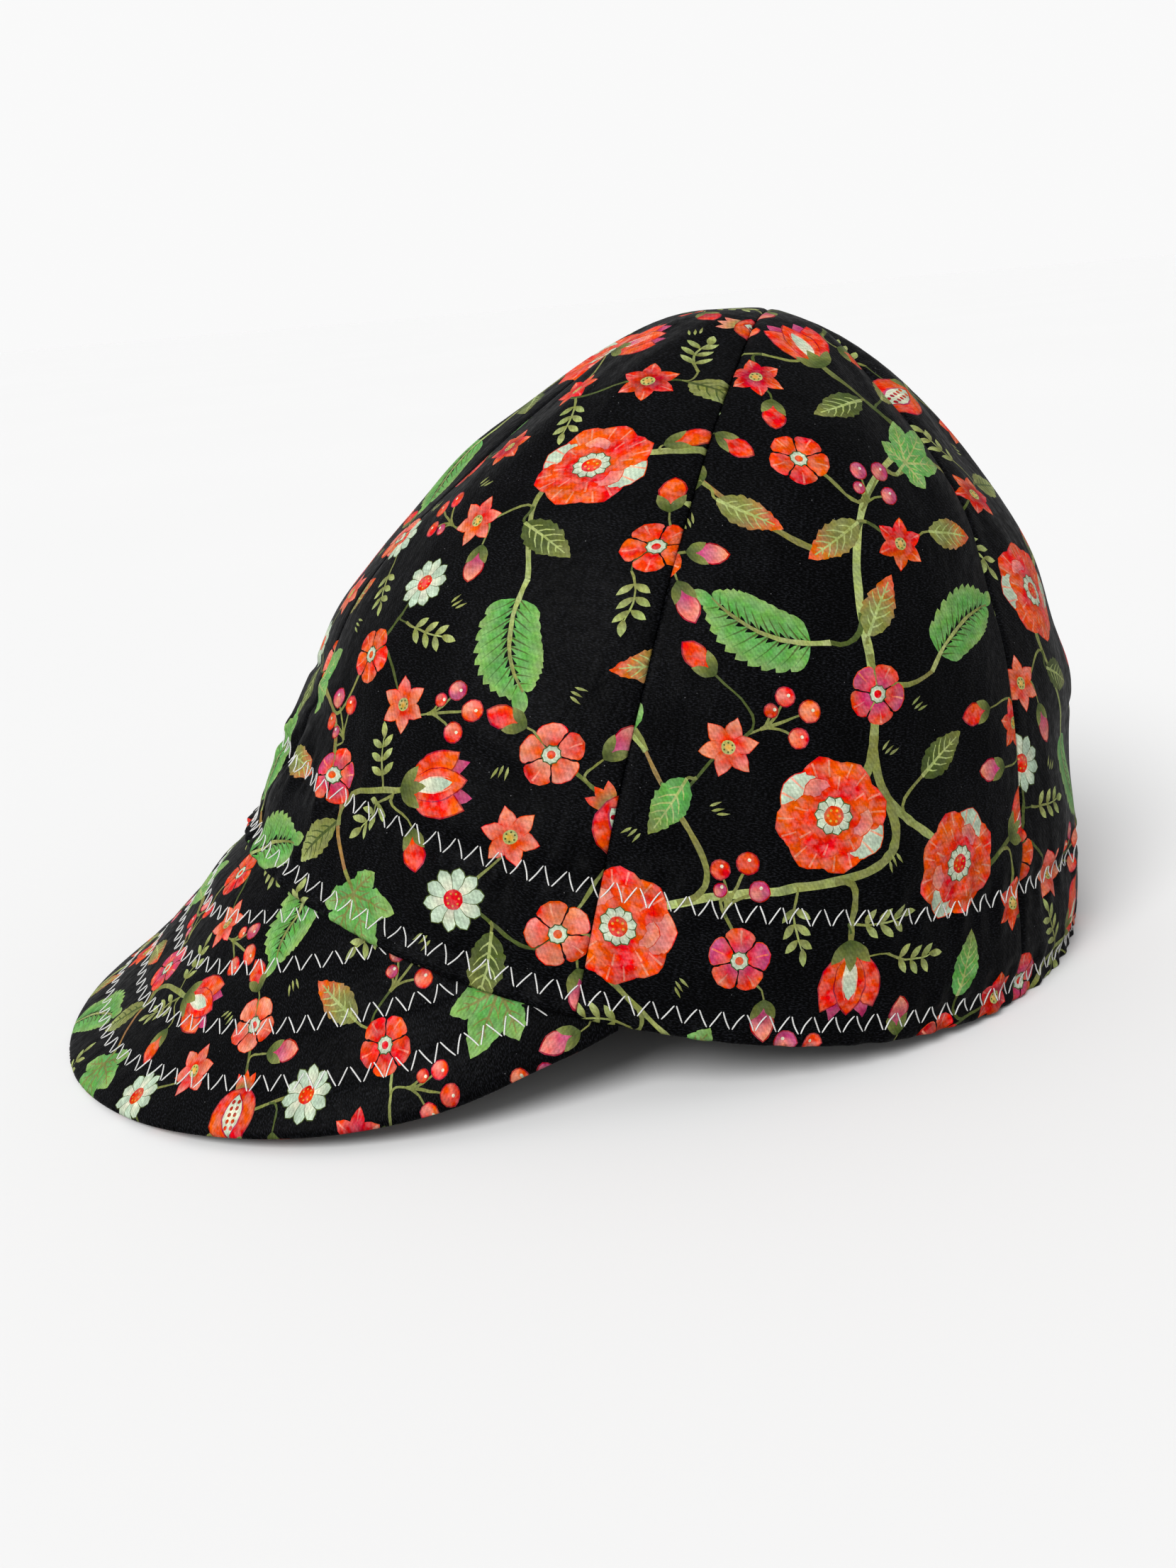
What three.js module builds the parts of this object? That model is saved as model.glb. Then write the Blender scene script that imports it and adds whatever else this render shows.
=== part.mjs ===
// A six-panel welding cap of cotton cloth, resting on a surface as it would by itself:
// on the back of its rim and on the tip of its soft peak.
//
// Millimetres, +Z up, the peak towards -Y. Every piece is first laid out on the cap itself,
// with the middle of the rim as its origin, and then tipped back to rest at Z = 0.
// A place on the crown is given by its turn, in degrees from the front towards +X, and by
// how far it is below the apex, from 0 at the apex to 1 at the rim.

import * as THREE from 'three';

// Crown
const HEAD_LENGTH = 210; // outside of the rim, front to back
const HEAD_WIDTH = 179; // outside of the rim, side to side
const CROWN_HEIGHT = 142; // rim to apex
const APEX_SETBACK = 6; // the apex lies this far behind the middle of the rim
const RIM_DIP = 6.4; // the rim bows up at the front and back, and down at the sides
const CLOTH = 1.6; // a crown panel's wall
const SEAM_GAP = 0.3; // between two panels
const APEX_OPENING = 1.8; // radius at which the six points stop
const PANEL_SWELL = 2.2; // how far a panel's middle stands out over its seams
const DENT_DEPTH = 2.6; // the deepest dent of the soft cloth

// Inner band, and the swell of the crown over it
const BAND_HEIGHT = 25; // the upper row of stitches runs along its top
const BAND_CLOTH = 1.4;
const BAND_SWELL = 1.0;
const BAND_LIFT = 0.5; // the band's lower edge sits this far above the rim
const CLEARANCE = 0.3; // between two layers

// Peak
const PEAK_REACH = 64.6; // from under the rim to the tip
const PEAK_HALF_TURN = 67; // degrees from the front to where it ends under the rim
const PEAK_CLOTH = 2.4; // two cloths round an interlining, stitched together
const PEAK_SAG = 3.8; // how far it hollows between root and edge
const PEAK_LIFT = 2.5; // how far it first bends up as it leaves the rim
const LIFT_RUN = 14;
const PEAK_EDGE = 2.5; // width of its rounded edge
const ROOT_CLOTH = 1.5; // its edge sewn in between crown and band
const ROOT_HEIGHT = 11;
const HEM_FLARE = 2.4; // the peak pushes the hem over it out by this much
const FLARE_HEIGHT = 9;

// Resting
const REST_FLAT = 1.2; // how far the soft edges flatten where they rest

// Radius shares of the crown, facing forwards, sideways and backwards.
const MERIDIANS = [
  { below: 0.00, front: 0.000, side: 0.000, back: 0.000 },
  { below: 0.08, front: 0.080, side: 0.080, back: 0.045 },
  { below: 0.15, front: 0.180, side: 0.178, back: 0.115 },
  { below: 0.30, front: 0.335, side: 0.345, back: 0.305 },
  { below: 0.45, front: 0.510, side: 0.545, back: 0.500 },
  { below: 0.60, front: 0.697, side: 0.725, back: 0.706 },
  { below: 0.75, front: 0.859, side: 0.858, back: 0.849 },
  { below: 0.88, front: 0.937, side: 0.958, back: 0.924 },
  { below: 1.00, front: 1.000, side: 1.000, back: 1.000 },
];

// Half of the peak, from its middle to its end: its reach as a share of PEAK_REACH, how far
// it falls below the level, and the share of its turn that it points to.
const PEAK_SHAPE = [
  { across: 0.00, reach: 1.000, fall: 54.5, aim: 1.22 },
  { across: 0.25, reach: 0.915, fall: 53.5, aim: 1.20 },
  { across: 0.50, reach: 0.710, fall: 52.0, aim: 1.10 },
  { across: 0.75, reach: 0.410, fall: 55.5, aim: 0.92 },
  { across: 0.90, reach: 0.170, fall: 63.0, aim: 0.79 },
  { across: 1.00, reach: 0.020, fall: 72.0, aim: 0.68 },
];

// Soft dents and swells: where each lies, how far it spreads, and its depth as a share of
// DENT_DEPTH. A negative depth is a swell. Heights are shares of CROWN_HEIGHT.
const DENTS = [
  { turn: 75, height: 0.30, around: 13, up: 0.15, depth: 0.80 },
  { turn: 98, height: 0.27, around: 16, up: 0.10, depth: -0.45 },
  { turn: 20, height: 0.30, around: 16, up: 0.12, depth: 0.55 },
  { turn: 40, height: 0.52, around: 15, up: 0.20, depth: 0.40 },
  { turn: 148, height: 0.34, around: 18, up: 0.16, depth: 0.60 },
  { turn: 180, height: 0.33, around: 34, up: 0.16, depth: -0.95 },
  { turn: 180, height: 0.18, around: 38, up: 0.08, depth: 0.90 },
  { turn: 215, height: 0.45, around: 18, up: 0.20, depth: 0.55 },
  { turn: 258, height: 0.31, around: 16, up: 0.14, depth: 0.80 },
  { turn: 284, height: 0.50, around: 14, up: 0.22, depth: 0.50 },
  { turn: 326, height: 0.33, around: 15, up: 0.15, depth: 0.70 },
  { turn: 350, height: 0.66, around: 22, up: 0.16, depth: 0.35 },
];

// The six panels, each from one seam to the next.
const PANELS = [
  { name: 'crown_panel_front_left', from: 0, to: 62 },
  { name: 'crown_panel_side_left', from: 62, to: 122 },
  { name: 'crown_panel_back_left', from: 122, to: 180 },
  { name: 'crown_panel_back_right', from: 180, to: 238 },
  { name: 'crown_panel_side_right', from: 238, to: 298 },
  { name: 'crown_panel_front_right', from: 298, to: 360 },
];

// Fineness of the walls
const PANEL_COLUMNS = 10;
const DOME_ROWS = 14;
const PEAK_COLUMNS = 36;
const PEAK_ROWS = 7;

const radians = THREE.MathUtils.degToRad;
const smooth = THREE.MathUtils.smoothstep;

// Reads a column of a table at any place between its rows, along a smooth curve through them.
function column(table, key, name, at, flatStart = false) {
  const last = table.length - 1;
  const secant = (i) => (table[i + 1][name] - table[i][name]) / (table[i + 1][key] - table[i][key]);
  const slope = (i) => {
    if (i === 0) return flatStart ? 0 : secant(0);
    if (i === last) return secant(last - 1);
    return (secant(i - 1) + secant(i)) / 2;
  };
  let i = 0;
  while (i < last - 1 && at > table[i + 1][key]) i += 1;
  const span = table[i + 1][key] - table[i][key];
  const f = (at - table[i][key]) / span;
  const rise = table[i + 1][name] - table[i][name];
  const bend = (1 - f) * (slope(i) * span - rise) - f * (slope(i + 1) * span - rise);
  return table[i][name] + f * rise + f * (1 - f) * bend;
}

// 1 at the middle of a soft swell, falling smoothly to 0 at a distance of 1.
function bump(distance) {
  return Math.abs(distance) < 1 ? (1 + Math.cos(Math.PI * distance)) / 2 : 0;
}

const heightAt = (below) => CROWN_HEIGHT * (1 - below ** 2);
const belowAt = (height) => Math.sqrt(1 - height / CROWN_HEIGHT);

// The crown as a smooth dome, before its seams, swells and dents.
function dome(turn, below) {
  const angle = radians(turn);
  const facing = Math.cos(angle) > 0 ? 'front' : 'back';
  const ahead = Math.cos(angle) ** 2;
  const share = ahead * column(MERIDIANS, 'below', facing, below)
    + (1 - ahead) * column(MERIDIANS, 'below', 'side', below);
  const risen = 1 - below ** 2;
  return new THREE.Vector3(
    HEAD_WIDTH / 2 * share * Math.sin(angle),
    -HEAD_LENGTH / 2 * share * Math.cos(angle) + APEX_SETBACK * risen,
    CROWN_HEIGHT * risen + RIM_DIP * Math.cos(2 * angle) * below ** 4,
  );
}

function domeNormal(turn, below) {
  const around = dome(turn + 1, below).sub(dome(turn - 1, below));
  const upper = Math.max(below - 0.01, 0.002);
  const upwards = dome(turn, upper).sub(dome(turn, upper + 0.02));
  return around.cross(upwards).normalize();
}

// How far the cloth stands out from the smooth dome.
function relief(turn, below) {
  const place = ((turn % 360) + 360) % 360;
  const panel = PANELS.find((one) => place <= one.to);
  const height = heightAt(below);
  const crownShare = 0.3 + 0.7 * smooth(height, BAND_HEIGHT / 2, 2 * BAND_HEIGHT);
  const apexShare = smooth(below, 0, 0.4);
  const middle = Math.sin(Math.PI * (place - panel.from) / (panel.to - panel.from));
  let out = PANEL_SWELL * (middle - 0.6) * crownShare * apexShare;
  out += BAND_SWELL * bump(2 * height / BAND_HEIGHT - 1);
  const aside = Math.abs(((turn + 540) % 360) - 180);
  const overPeak = 1 - smooth(aside, PEAK_HALF_TURN - 15, PEAK_HALF_TURN + 8);
  out += HEM_FLARE * overPeak * (1 - smooth(height, 0, FLARE_HEIGHT));
  for (const dent of DENTS) {
    const away = ((place - dent.turn + 540) % 360) - 180;
    const over = height / CROWN_HEIGHT - dent.height;
    out -= DENT_DEPTH * dent.depth * bump(away / dent.around) * bump(over / dent.up);
  }
  return out;
}

// A place on the crown, or out millimetres outside it.
function crown(turn, below, out = 0) {
  const normal = domeNormal(turn, below);
  return dome(turn, below).addScaledVector(normal, relief(turn, below) + out);
}

// Heights that crown, peak and band share, so that their layers lie evenly on each other.
const ROOT_HEIGHTS = [ROOT_HEIGHT / 2, ROOT_HEIGHT];
const LAYER_HEIGHTS = [...ROOT_HEIGHTS, (ROOT_HEIGHT + BAND_HEIGHT) / 2, BAND_HEIGHT];

// Rows of the crown from the rim upwards: close over the band, then even to the apex.
function crownRows() {
  const rows = [0, ...LAYER_HEIGHTS].map(belowAt);
  const first = belowAt(BAND_HEIGHT);
  const last = APEX_OPENING / (HEAD_WIDTH / 2);
  for (let i = 1; i <= DOME_ROWS; i += 1) rows.push(first + (last - first) * i / DOME_ROWS);
  return rows;
}

// A crown panel: place(i, j, depth) on a grid of columns across and rows upwards.
function panelPlace(panel, rows) {
  return (i, j, depth) => {
    const below = rows[j];
    const radius = Math.hypot(dome(panel.from, below).x, dome(panel.from, below).y);
    const inset = THREE.MathUtils.radToDeg(SEAM_GAP / 2 / Math.max(radius, APEX_OPENING));
    const turn = THREE.MathUtils.lerp(panel.from + inset, panel.to - inset, i / PANEL_COLUMNS);
    return crown(turn, below, -depth * CLOTH);
  };
}

// How much room the peak's root takes between crown and band, from 0 to 1.
function rootShare(turn, height) {
  const away = Math.abs(((turn + 540) % 360) - 180);
  const aside = 1 - smooth(away, PEAK_HALF_TURN + 2, PEAK_HALF_TURN + 14);
  return aside * (1 - smooth(height, ROOT_HEIGHT + 1, ROOT_HEIGHT + 9));
}

const bandTurns = PANELS.flatMap((panel) => Array.from(
  { length: PANEL_COLUMNS },
  (_, i) => THREE.MathUtils.lerp(panel.from, panel.to, i / PANEL_COLUMNS),
));
const BAND_HEIGHTS = [BAND_LIFT, ...LAYER_HEIGHTS];

function bandPlace(i, j, depth) {
  const turn = bandTurns[i];
  const height = BAND_HEIGHTS[j];
  const room = (ROOT_CLOTH + CLEARANCE) * rootShare(turn, height);
  return crown(turn, belowAt(height), -(CLOTH + CLEARANCE + room + depth * BAND_CLOTH));
}

// The peak runs from its edge (row 0) to the rim, and on up between crown and band.
function peakPlace(i, j, depth) {
  const across = 2 * i / PEAK_COLUMNS - 1;
  const turn = across * PEAK_HALF_TURN;
  const read = (name) => column(PEAK_SHAPE, 'across', name, Math.abs(across), true);
  if (j > PEAK_ROWS) {
    const height = ROOT_HEIGHTS[j - PEAK_ROWS - 1];
    return crown(turn, belowAt(height), -(CLOTH + CLEARANCE + depth * ROOT_CLOTH));
  }
  const reach = PEAK_REACH * read('reach');
  const edge = Math.min(PEAK_EDGE, reach / 3);
  const run = j === 0 ? reach : (reach - edge) * (PEAK_ROWS - j) / (PEAK_ROWS - 1);
  const fall = radians(read('fall'));
  const aim = radians(turn) * read('aim');
  const ahead = new THREE.Vector3(Math.sin(aim), -Math.cos(aim), 0);
  const upwards = new THREE.Vector3(0, 0, 1);
  const along = ahead.clone().multiplyScalar(Math.cos(fall)).addScaledVector(upwards, -Math.sin(fall));
  const normal = ahead.clone().multiplyScalar(Math.sin(fall)).addScaledVector(upwards, Math.cos(fall));
  const sag = PEAK_SAG * 4 * (run / PEAK_REACH) * (1 - run / PEAK_REACH) - PEAK_LIFT * smooth(run, 0, LIFT_RUN);
  const full = smooth(run, 0, 3 * PEAK_CLOTH);
  const wall = THREE.MathUtils.lerp(ROOT_CLOTH, PEAK_CLOTH, full) * (j === 0 ? 0.5 : 1);
  const rounding = j === 0 ? wall / 2 : 0;
  const through = domeNormal(turn, 1).lerp(normal, full).normalize();
  return crown(turn, 1, -(CLOTH + CLEARANCE))
    .addScaledVector(along, run)
    .addScaledVector(normal, -sag)
    .addScaledVector(through, -(rounding + depth * wall));
}

// The tilt at which the peak's tip and the back of the rim lie on one level.
function restingTilt() {
  const tip = [];
  for (let i = 0; i <= PEAK_COLUMNS; i += 1) tip.push(peakPlace(i, 0, 1));
  const back = [];
  for (let turn = 90; turn <= 270; turn += 6) back.push(crown(turn, 1, -CLOTH / 2));
  const level = (points, tilt) => Math.min(
    ...points.map((point) => point.z * Math.cos(tilt) - point.y * Math.sin(tilt)),
  );
  let low = 0;
  let high = radians(35);
  while (high - low > 1e-6) {
    const tilt = (low + high) / 2;
    if (level(tip, tilt) < level(back, tilt)) low = tilt;
    else high = tilt;
  }
  return { tilt: low, floor: level(back, low) };
}

const rest = restingTilt();

// Tips a point back with the cap, and flattens it where it would sink into the surface.
function settle(point) {
  const z = point.z * Math.cos(rest.tilt) - point.y * Math.sin(rest.tilt) - rest.floor - REST_FLAT;
  const y = point.z * Math.sin(rest.tilt) + point.y * Math.cos(rest.tilt);
  return new THREE.Vector3(point.x, y, Math.max(z, 0));
}

// A closed wall over a grid of places: an outer sheet, an inner sheet, and strips that join
// them round the free edges. A ring closes on itself across its columns.
class WallGeometry extends THREE.BufferGeometry {
  constructor(place, columns, rows, ring = false) {
    super();
    const width = ring ? columns : columns + 1;
    const corners = [];
    for (let depth = 0; depth < 2; depth += 1) {
      for (let j = 0; j <= rows; j += 1) {
        for (let i = 0; i < width; i += 1) corners.push(settle(place(i, j, depth)));
      }
    }
    const at = (i, j, depth) => (depth * (rows + 1) + j) * width + (i % width);
    const faces = [];
    const quad = (a, b, c, d) => faces.push(a, b, c, a, c, d);
    for (let i = 0; i < columns; i += 1) {
      for (let j = 0; j < rows; j += 1) {
        quad(at(i, j, 0), at(i + 1, j, 0), at(i + 1, j + 1, 0), at(i, j + 1, 0));
        quad(at(i, j, 1), at(i, j + 1, 1), at(i + 1, j + 1, 1), at(i + 1, j, 1));
      }
      quad(at(i + 1, 0, 0), at(i, 0, 0), at(i, 0, 1), at(i + 1, 0, 1));
      quad(at(i, rows, 0), at(i + 1, rows, 0), at(i + 1, rows, 1), at(i, rows, 1));
    }
    for (let j = 0; j < rows && !ring; j += 1) {
      quad(at(0, j, 0), at(0, j + 1, 0), at(0, j + 1, 1), at(0, j, 1));
      quad(at(columns, j + 1, 0), at(columns, j, 0), at(columns, j, 1), at(columns, j + 1, 1));
    }
    this.setFromPoints(corners);
    this.setIndex(faces);
    this.computeVertexNormals();
  }
}

const printedCotton = new THREE.MeshStandardMaterial({ color: 0x151517, roughness: 0.8, metalness: 0 });
const bandCotton = new THREE.MeshStandardMaterial({ color: 0x0f0f11, roughness: 0.85, metalness: 0 });
const peakCotton = new THREE.MeshStandardMaterial({ color: 0x17171a, roughness: 0.8, metalness: 0 });

const cap = new THREE.Group();

function addPiece(name, geometry, material) {
  const mesh = new THREE.Mesh(geometry, material);
  mesh.name = name;
  cap.add(mesh);
}

const rows = crownRows();
for (const panel of PANELS) {
  const wall = new WallGeometry(panelPlace(panel, rows), PANEL_COLUMNS, rows.length - 1);
  addPiece(panel.name, wall, printedCotton);
}
const band = new WallGeometry(bandPlace, bandTurns.length, BAND_HEIGHTS.length - 1, true);
addPiece('inner_band', band, bandCotton);
const peak = new WallGeometry(peakPlace, PEAK_COLUMNS, PEAK_ROWS + ROOT_HEIGHTS.length);
addPiece('peak', peak, peakCotton);

// The middle of the whole cap stands over the origin.
const middle = new THREE.Box3().setFromObject(cap).getCenter(new THREE.Vector3());
cap.position.set(-middle.x, -middle.y, 0);

export default cap;
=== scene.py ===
"""A six-panel welding cap of printed cotton sateen, resting on the back of its rim and the tip of its peak.

The cloth is cut flat, along the outlines of its own print, and then laid on the cap's form, which is the
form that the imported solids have. Flat sizes are in millimetres, and finished pieces are in metres.
"""

import logging
import math
import random
from dataclasses import dataclass, field, replace
from enum import Enum
from typing import Callable, Optional

import bpy
import numpy as np
from mathutils import Matrix, Vector
from mathutils.geometry import delaunay_2d_cdt


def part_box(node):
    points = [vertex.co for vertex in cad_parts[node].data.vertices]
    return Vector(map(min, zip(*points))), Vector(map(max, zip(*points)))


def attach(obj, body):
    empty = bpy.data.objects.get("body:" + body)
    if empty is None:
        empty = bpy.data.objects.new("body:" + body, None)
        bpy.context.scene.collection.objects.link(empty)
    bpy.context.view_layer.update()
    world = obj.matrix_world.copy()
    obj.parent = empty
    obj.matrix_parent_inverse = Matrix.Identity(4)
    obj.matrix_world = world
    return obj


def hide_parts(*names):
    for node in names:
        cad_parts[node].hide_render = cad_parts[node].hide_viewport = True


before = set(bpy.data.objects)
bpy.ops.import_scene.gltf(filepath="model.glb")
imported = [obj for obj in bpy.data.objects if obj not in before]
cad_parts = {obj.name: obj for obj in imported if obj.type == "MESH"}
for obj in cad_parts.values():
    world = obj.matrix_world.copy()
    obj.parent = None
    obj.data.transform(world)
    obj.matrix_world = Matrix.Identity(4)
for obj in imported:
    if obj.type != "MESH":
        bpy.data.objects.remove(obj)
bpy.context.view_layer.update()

Array = np.ndarray
Pair = tuple[float, float]
Lie = Callable[[Array, Array], tuple[Array, Array]]
Surface = Callable[[Array, Array], Array]
Report = logging.getLogger("welding_cap")
MM = 0.001


def smooth(value: Array, low: float, high: float) -> Array:
    """Rises smoothly from 0 at one value to 1 at another."""
    share = np.clip((value - low) / (high - low), 0.0, 1.0)
    return share * share * (3.0 - 2.0 * share)


def swell(distance: Array) -> Array:
    """1 at the middle of a soft swell, falling smoothly to 0 at a distance of 1."""
    return np.where(np.abs(distance) < 1.0, (1.0 + np.cos(math.pi * distance)) / 2.0, 0.0)


def bell(distance: Array) -> Array:
    """1 at the middle of a narrow bell, falling away smoothly without an end."""
    return np.exp(-distance ** 2)


def half_turn(degrees: Array) -> Array:
    """An angle brought to between -180 and 180 degrees."""
    return np.mod(degrees + 540.0, 360.0) - 180.0


def unit(vectors: Array) -> Array:
    """The same directions with a length of 1."""
    return vectors / np.maximum(np.linalg.norm(vectors, axis=-1, keepdims=True), 1e-12)


def curve_through(keys: Array, values: Array, at: Array, flat_start: bool = False) -> Array:
    """Reads a table between its rows, along a smooth curve through them.

    Args:
        keys: The table's rising keys.
        values: The value at each key.
        at: Where to read.
        flat_start: Whether the curve starts level, as at the middle of a shape.

    Returns:
        The values there.
    """
    secant = np.diff(values) / np.diff(keys)
    start = 0.0 if flat_start else secant[0]
    slope = np.concatenate([[start], (secant[:-1] + secant[1:]) / 2.0, [secant[-1]]])
    row = np.clip(np.searchsorted(keys, at, side="left") - 1, 0, len(keys) - 2)
    span = keys[row + 1] - keys[row]
    share = (at - keys[row]) / span
    rise = values[row + 1] - values[row]
    bend = (1.0 - share) * (slope[row] * span - rise) - share * (slope[row + 1] * span - rise)
    return values[row] + share * rise + share * (1.0 - share) * bend


class Tone(Enum):
    """The inks of the print, as display colours, and the black ground that they lie on."""

    GROUND = (0.0100, 0.0105, 0.0130)
    VERMILION = (0.95, 0.31, 0.17)
    SCARLET = (0.86, 0.26, 0.15)
    CRIMSON = (0.66, 0.15, 0.18)
    MAGENTA = (0.76, 0.28, 0.46)
    ROSE = (0.95, 0.56, 0.46)
    MINT = (0.74, 0.82, 0.72)
    CREAM = (0.90, 0.89, 0.78)
    GOLD = (0.88, 0.66, 0.30)
    LEAF = (0.40, 0.66, 0.33)
    MOSS = (0.31, 0.36, 0.18)
    OLIVE = (0.51, 0.53, 0.29)
    LIME = (0.67, 0.72, 0.44)
    BARK = (0.62, 0.46, 0.27)

    @property
    def linear(self) -> Array:
        """The ink in scene-linear red, green and blue."""
        shown = np.array(self.value)
        return np.where(shown <= 0.04045, shown / 12.92, ((shown + 0.055) / 1.055) ** 2.4)


Inks = tuple[Tone, Tone]


def turned(points: Array, turn: float, at: Pair = (0.0, 0.0)) -> Array:
    """Turns flat points anticlockwise by an angle in radians, then moves them."""
    c, s = math.cos(turn), math.sin(turn)
    return points @ np.array([[c, s], [-s, c]]) + np.array(at)


@dataclass
class Patch:
    """One printed shape: its outline, and a blend from one ink to another away from a focus."""

    outline: Array
    inner: Tone
    outer: Tone
    focus: Pair = (0.0, 0.0)
    reach: float = 10.0

    def moved(self, turn: float, at: Pair) -> "Patch":
        """The same patch, turned and moved."""
        focus = tuple(turned(np.array([self.focus]), turn, at)[0])
        return replace(self, outline=turned(self.outline, turn, at), focus=focus)

    def sized(self, scale: float) -> "Patch":
        """The same patch, larger or smaller about the origin."""
        focus = (scale * self.focus[0], scale * self.focus[1])
        return replace(self, outline=scale * self.outline, focus=focus, reach=scale * self.reach)

    def ink(self, points: Array) -> Array:
        """The patch's colour at some points, in scene-linear values."""
        away = np.linalg.norm(points - np.array(self.focus), axis=-1)
        share = smooth(away, 0.15 * self.reach, self.reach)[..., None]
        return self.inner.linear * (1.0 - share) + self.outer.linear * share


def blade(length: float, width: float, widest: float = 0.55, blunt: float = 0.8, teeth: int = 0,
          depth: float = 0.0, steps: int = 0) -> Array:
    """A leaf or petal outline, from its base at the origin to its tip along X.

    Args:
        length: From base to tip.
        width: Across its widest place.
        widest: Where that place lies, as a share of the length.
        blunt: Below 1 rounds the ends, and above 1 draws them out.
        teeth: How many teeth each side has.
        depth: How deep the teeth are, as a share of the half width.
        steps: Points along each side, or 0 for as many as its length needs.

    Returns:
        The outline, anticlockwise.
    """
    share = np.linspace(0.0, 1.0, (steps or int(min(13.0, 4.0 + 0.65 * length))) + 1)
    half = width / 2.0 * np.sin(math.pi * share ** (math.log(0.5) / math.log(widest))) ** blunt
    if teeth:
        half = half * (1.0 - depth * ((share * teeth) % 1.0))
    lower = np.stack([share * length, -half], 1)
    upper = np.stack([share * length, half], 1)[::-1]
    return np.concatenate([lower, upper[1:-1]])


def disc(radius: float, steps: int = 12, lobes: int = 0, depth: float = 0.0) -> Array:
    """A round outline about the origin, plain or with lobes that are cut in by a share of its radius."""
    angle = np.linspace(0.0, 2.0 * math.pi, steps, endpoint=False)
    reach = radius * (1.0 - depth + depth * np.abs(np.cos(angle * lobes / 2.0)))
    return np.stack([reach * np.cos(angle), reach * np.sin(angle)], 1)


def ribbon(line: Array, start: float, end: float) -> Array:
    """The outline of a brush stroke along a line, from one width to another."""
    along = unit(np.gradient(line, axis=0))
    across = np.stack([-along[:, 1], along[:, 0]], 1)
    half = np.linspace(start, end, len(line))[:, None] / 2.0
    return np.concatenate([line - across * half, (line + across * half)[::-1]])


def bezier(points: Array, steps: int) -> Array:
    """Points along a cubic curve with four control points."""
    t = np.linspace(0.0, 1.0, steps + 1)[:, None]
    a, b, c, d = points
    return a * (1 - t) ** 3 + 3 * b * t * (1 - t) ** 2 + 3 * c * t ** 2 * (1 - t) + d * t ** 3


@dataclass(frozen=True)
class PetalRing:
    """A ring of like petals round a flower's middle, each with a thin drawn edge."""

    count: int
    length: float
    width: float
    inks: tuple[Inks, ...]
    edge: Tone = Tone.SCARLET
    widest: float = 0.68
    blunt: float = 0.7
    teeth: int = 0
    depth: float = 0.12
    line: float = 0.22
    streaks: int = 0
    streak: Tone = Tone.ROSE
    streak_lean: float = 0.8

    def patches(self, start: float) -> list[Patch]:
        """The ring's patches, with its first petal at an angle in radians."""
        look = (self.widest, self.blunt, self.teeth, self.depth, 4 * self.teeth)
        full = blade(self.length, self.width, *look)
        slim = blade(self.length - self.line, self.width - 2.0 * self.line, *look)
        stroke = ribbon(np.array([[0.52, 0.0], [0.72, 0.012], [0.93, 0.0]]) * self.length, 0.25, 0.55)
        lean = self.streak_lean * self.width / self.length / max(self.streaks, 1)
        ring = []
        for i in range(self.count):
            turn = start + 2.0 * math.pi * i / self.count
            inner, outer = self.inks[i % len(self.inks)]
            ring.append(Patch(turned(full, turn), self.edge, self.edge))
            ring.append(Patch(turned(slim, turn), inner, outer, reach=self.length))
            for k in range(self.streaks):
                along = turn + (k - (self.streaks - 1) / 2.0) * lean
                ring.append(Patch(turned(stroke, along), inner, self.streak, reach=self.length))
        return ring


def dots(count: int, ring: float, radius: float, tone: Tone) -> list[Patch]:
    """A ring of small dots round the origin."""
    angles = np.linspace(0.0, 2.0 * math.pi, count, endpoint=False)
    return [Patch(turned(disc(radius, 6), 0.0, (ring * math.cos(a), ring * math.sin(a))), tone, tone)
            for a in angles]


def veins(length: float, width: float, pairs: int, tone: Tone) -> list[Patch]:
    """A midrib and pairs of side veins, on a leaf whose base is at the origin."""
    rib = np.array([[0.0, 0.0], [length * 0.5, 0.2], [length * 0.94, 0.0]])
    strokes = [Patch(ribbon(rib, 0.9, 0.3), tone, tone)]
    for i in range(1, pairs + 1):
        x = length * i / (pairs + 1.6)
        reach = width * 0.36 * math.sin(math.pi * min(0.92, (i + 0.4) / (pairs + 1)))
        for side in (-1.0, 1.0):
            vein = np.array([[0.0, 0.0], [0.55, side * 0.62], [1.15, side]]) * reach + [x, 0.0]
            strokes.append(Patch(ribbon(vein, 0.5, 0.2), tone, tone))
    return strokes


RED: Inks = (Tone.SCARLET, Tone.VERMILION)
DEEP: Inks = (Tone.CRIMSON, Tone.VERMILION)
PINK: Inks = (Tone.MAGENTA, Tone.ROSE)
PALE: Inks = (Tone.CREAM, Tone.MINT)
SHADE: Inks = (Tone.CRIMSON, Tone.CRIMSON)
FRESH: Inks = (Tone.LEAF, Tone.LIME)
SHOOT: Inks = (Tone.OLIVE, Tone.LIME)
CALYX: Inks = (Tone.MOSS, Tone.OLIVE)
HEART: Inks = (Tone.VERMILION, Tone.SCARLET)


def petal(shape: tuple[float, ...], inks: Inks, reach: float = 10.0, turn: float = 0.0,
          at: Pair = (0.0, 0.0)) -> Patch:
    """A petal or leaf with a blade's shape, inked from its foot outwards."""
    return Patch(turned(blade(*shape), turn, at), *inks, at, reach)


def spot(radius: float, inks: Inks, steps: int = 12, at: Pair = (0.0, 0.0)) -> Patch:
    """A round spot, inked from its middle outwards."""
    return Patch(turned(disc(radius, steps), 0.0, at), *inks, at, radius)


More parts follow.
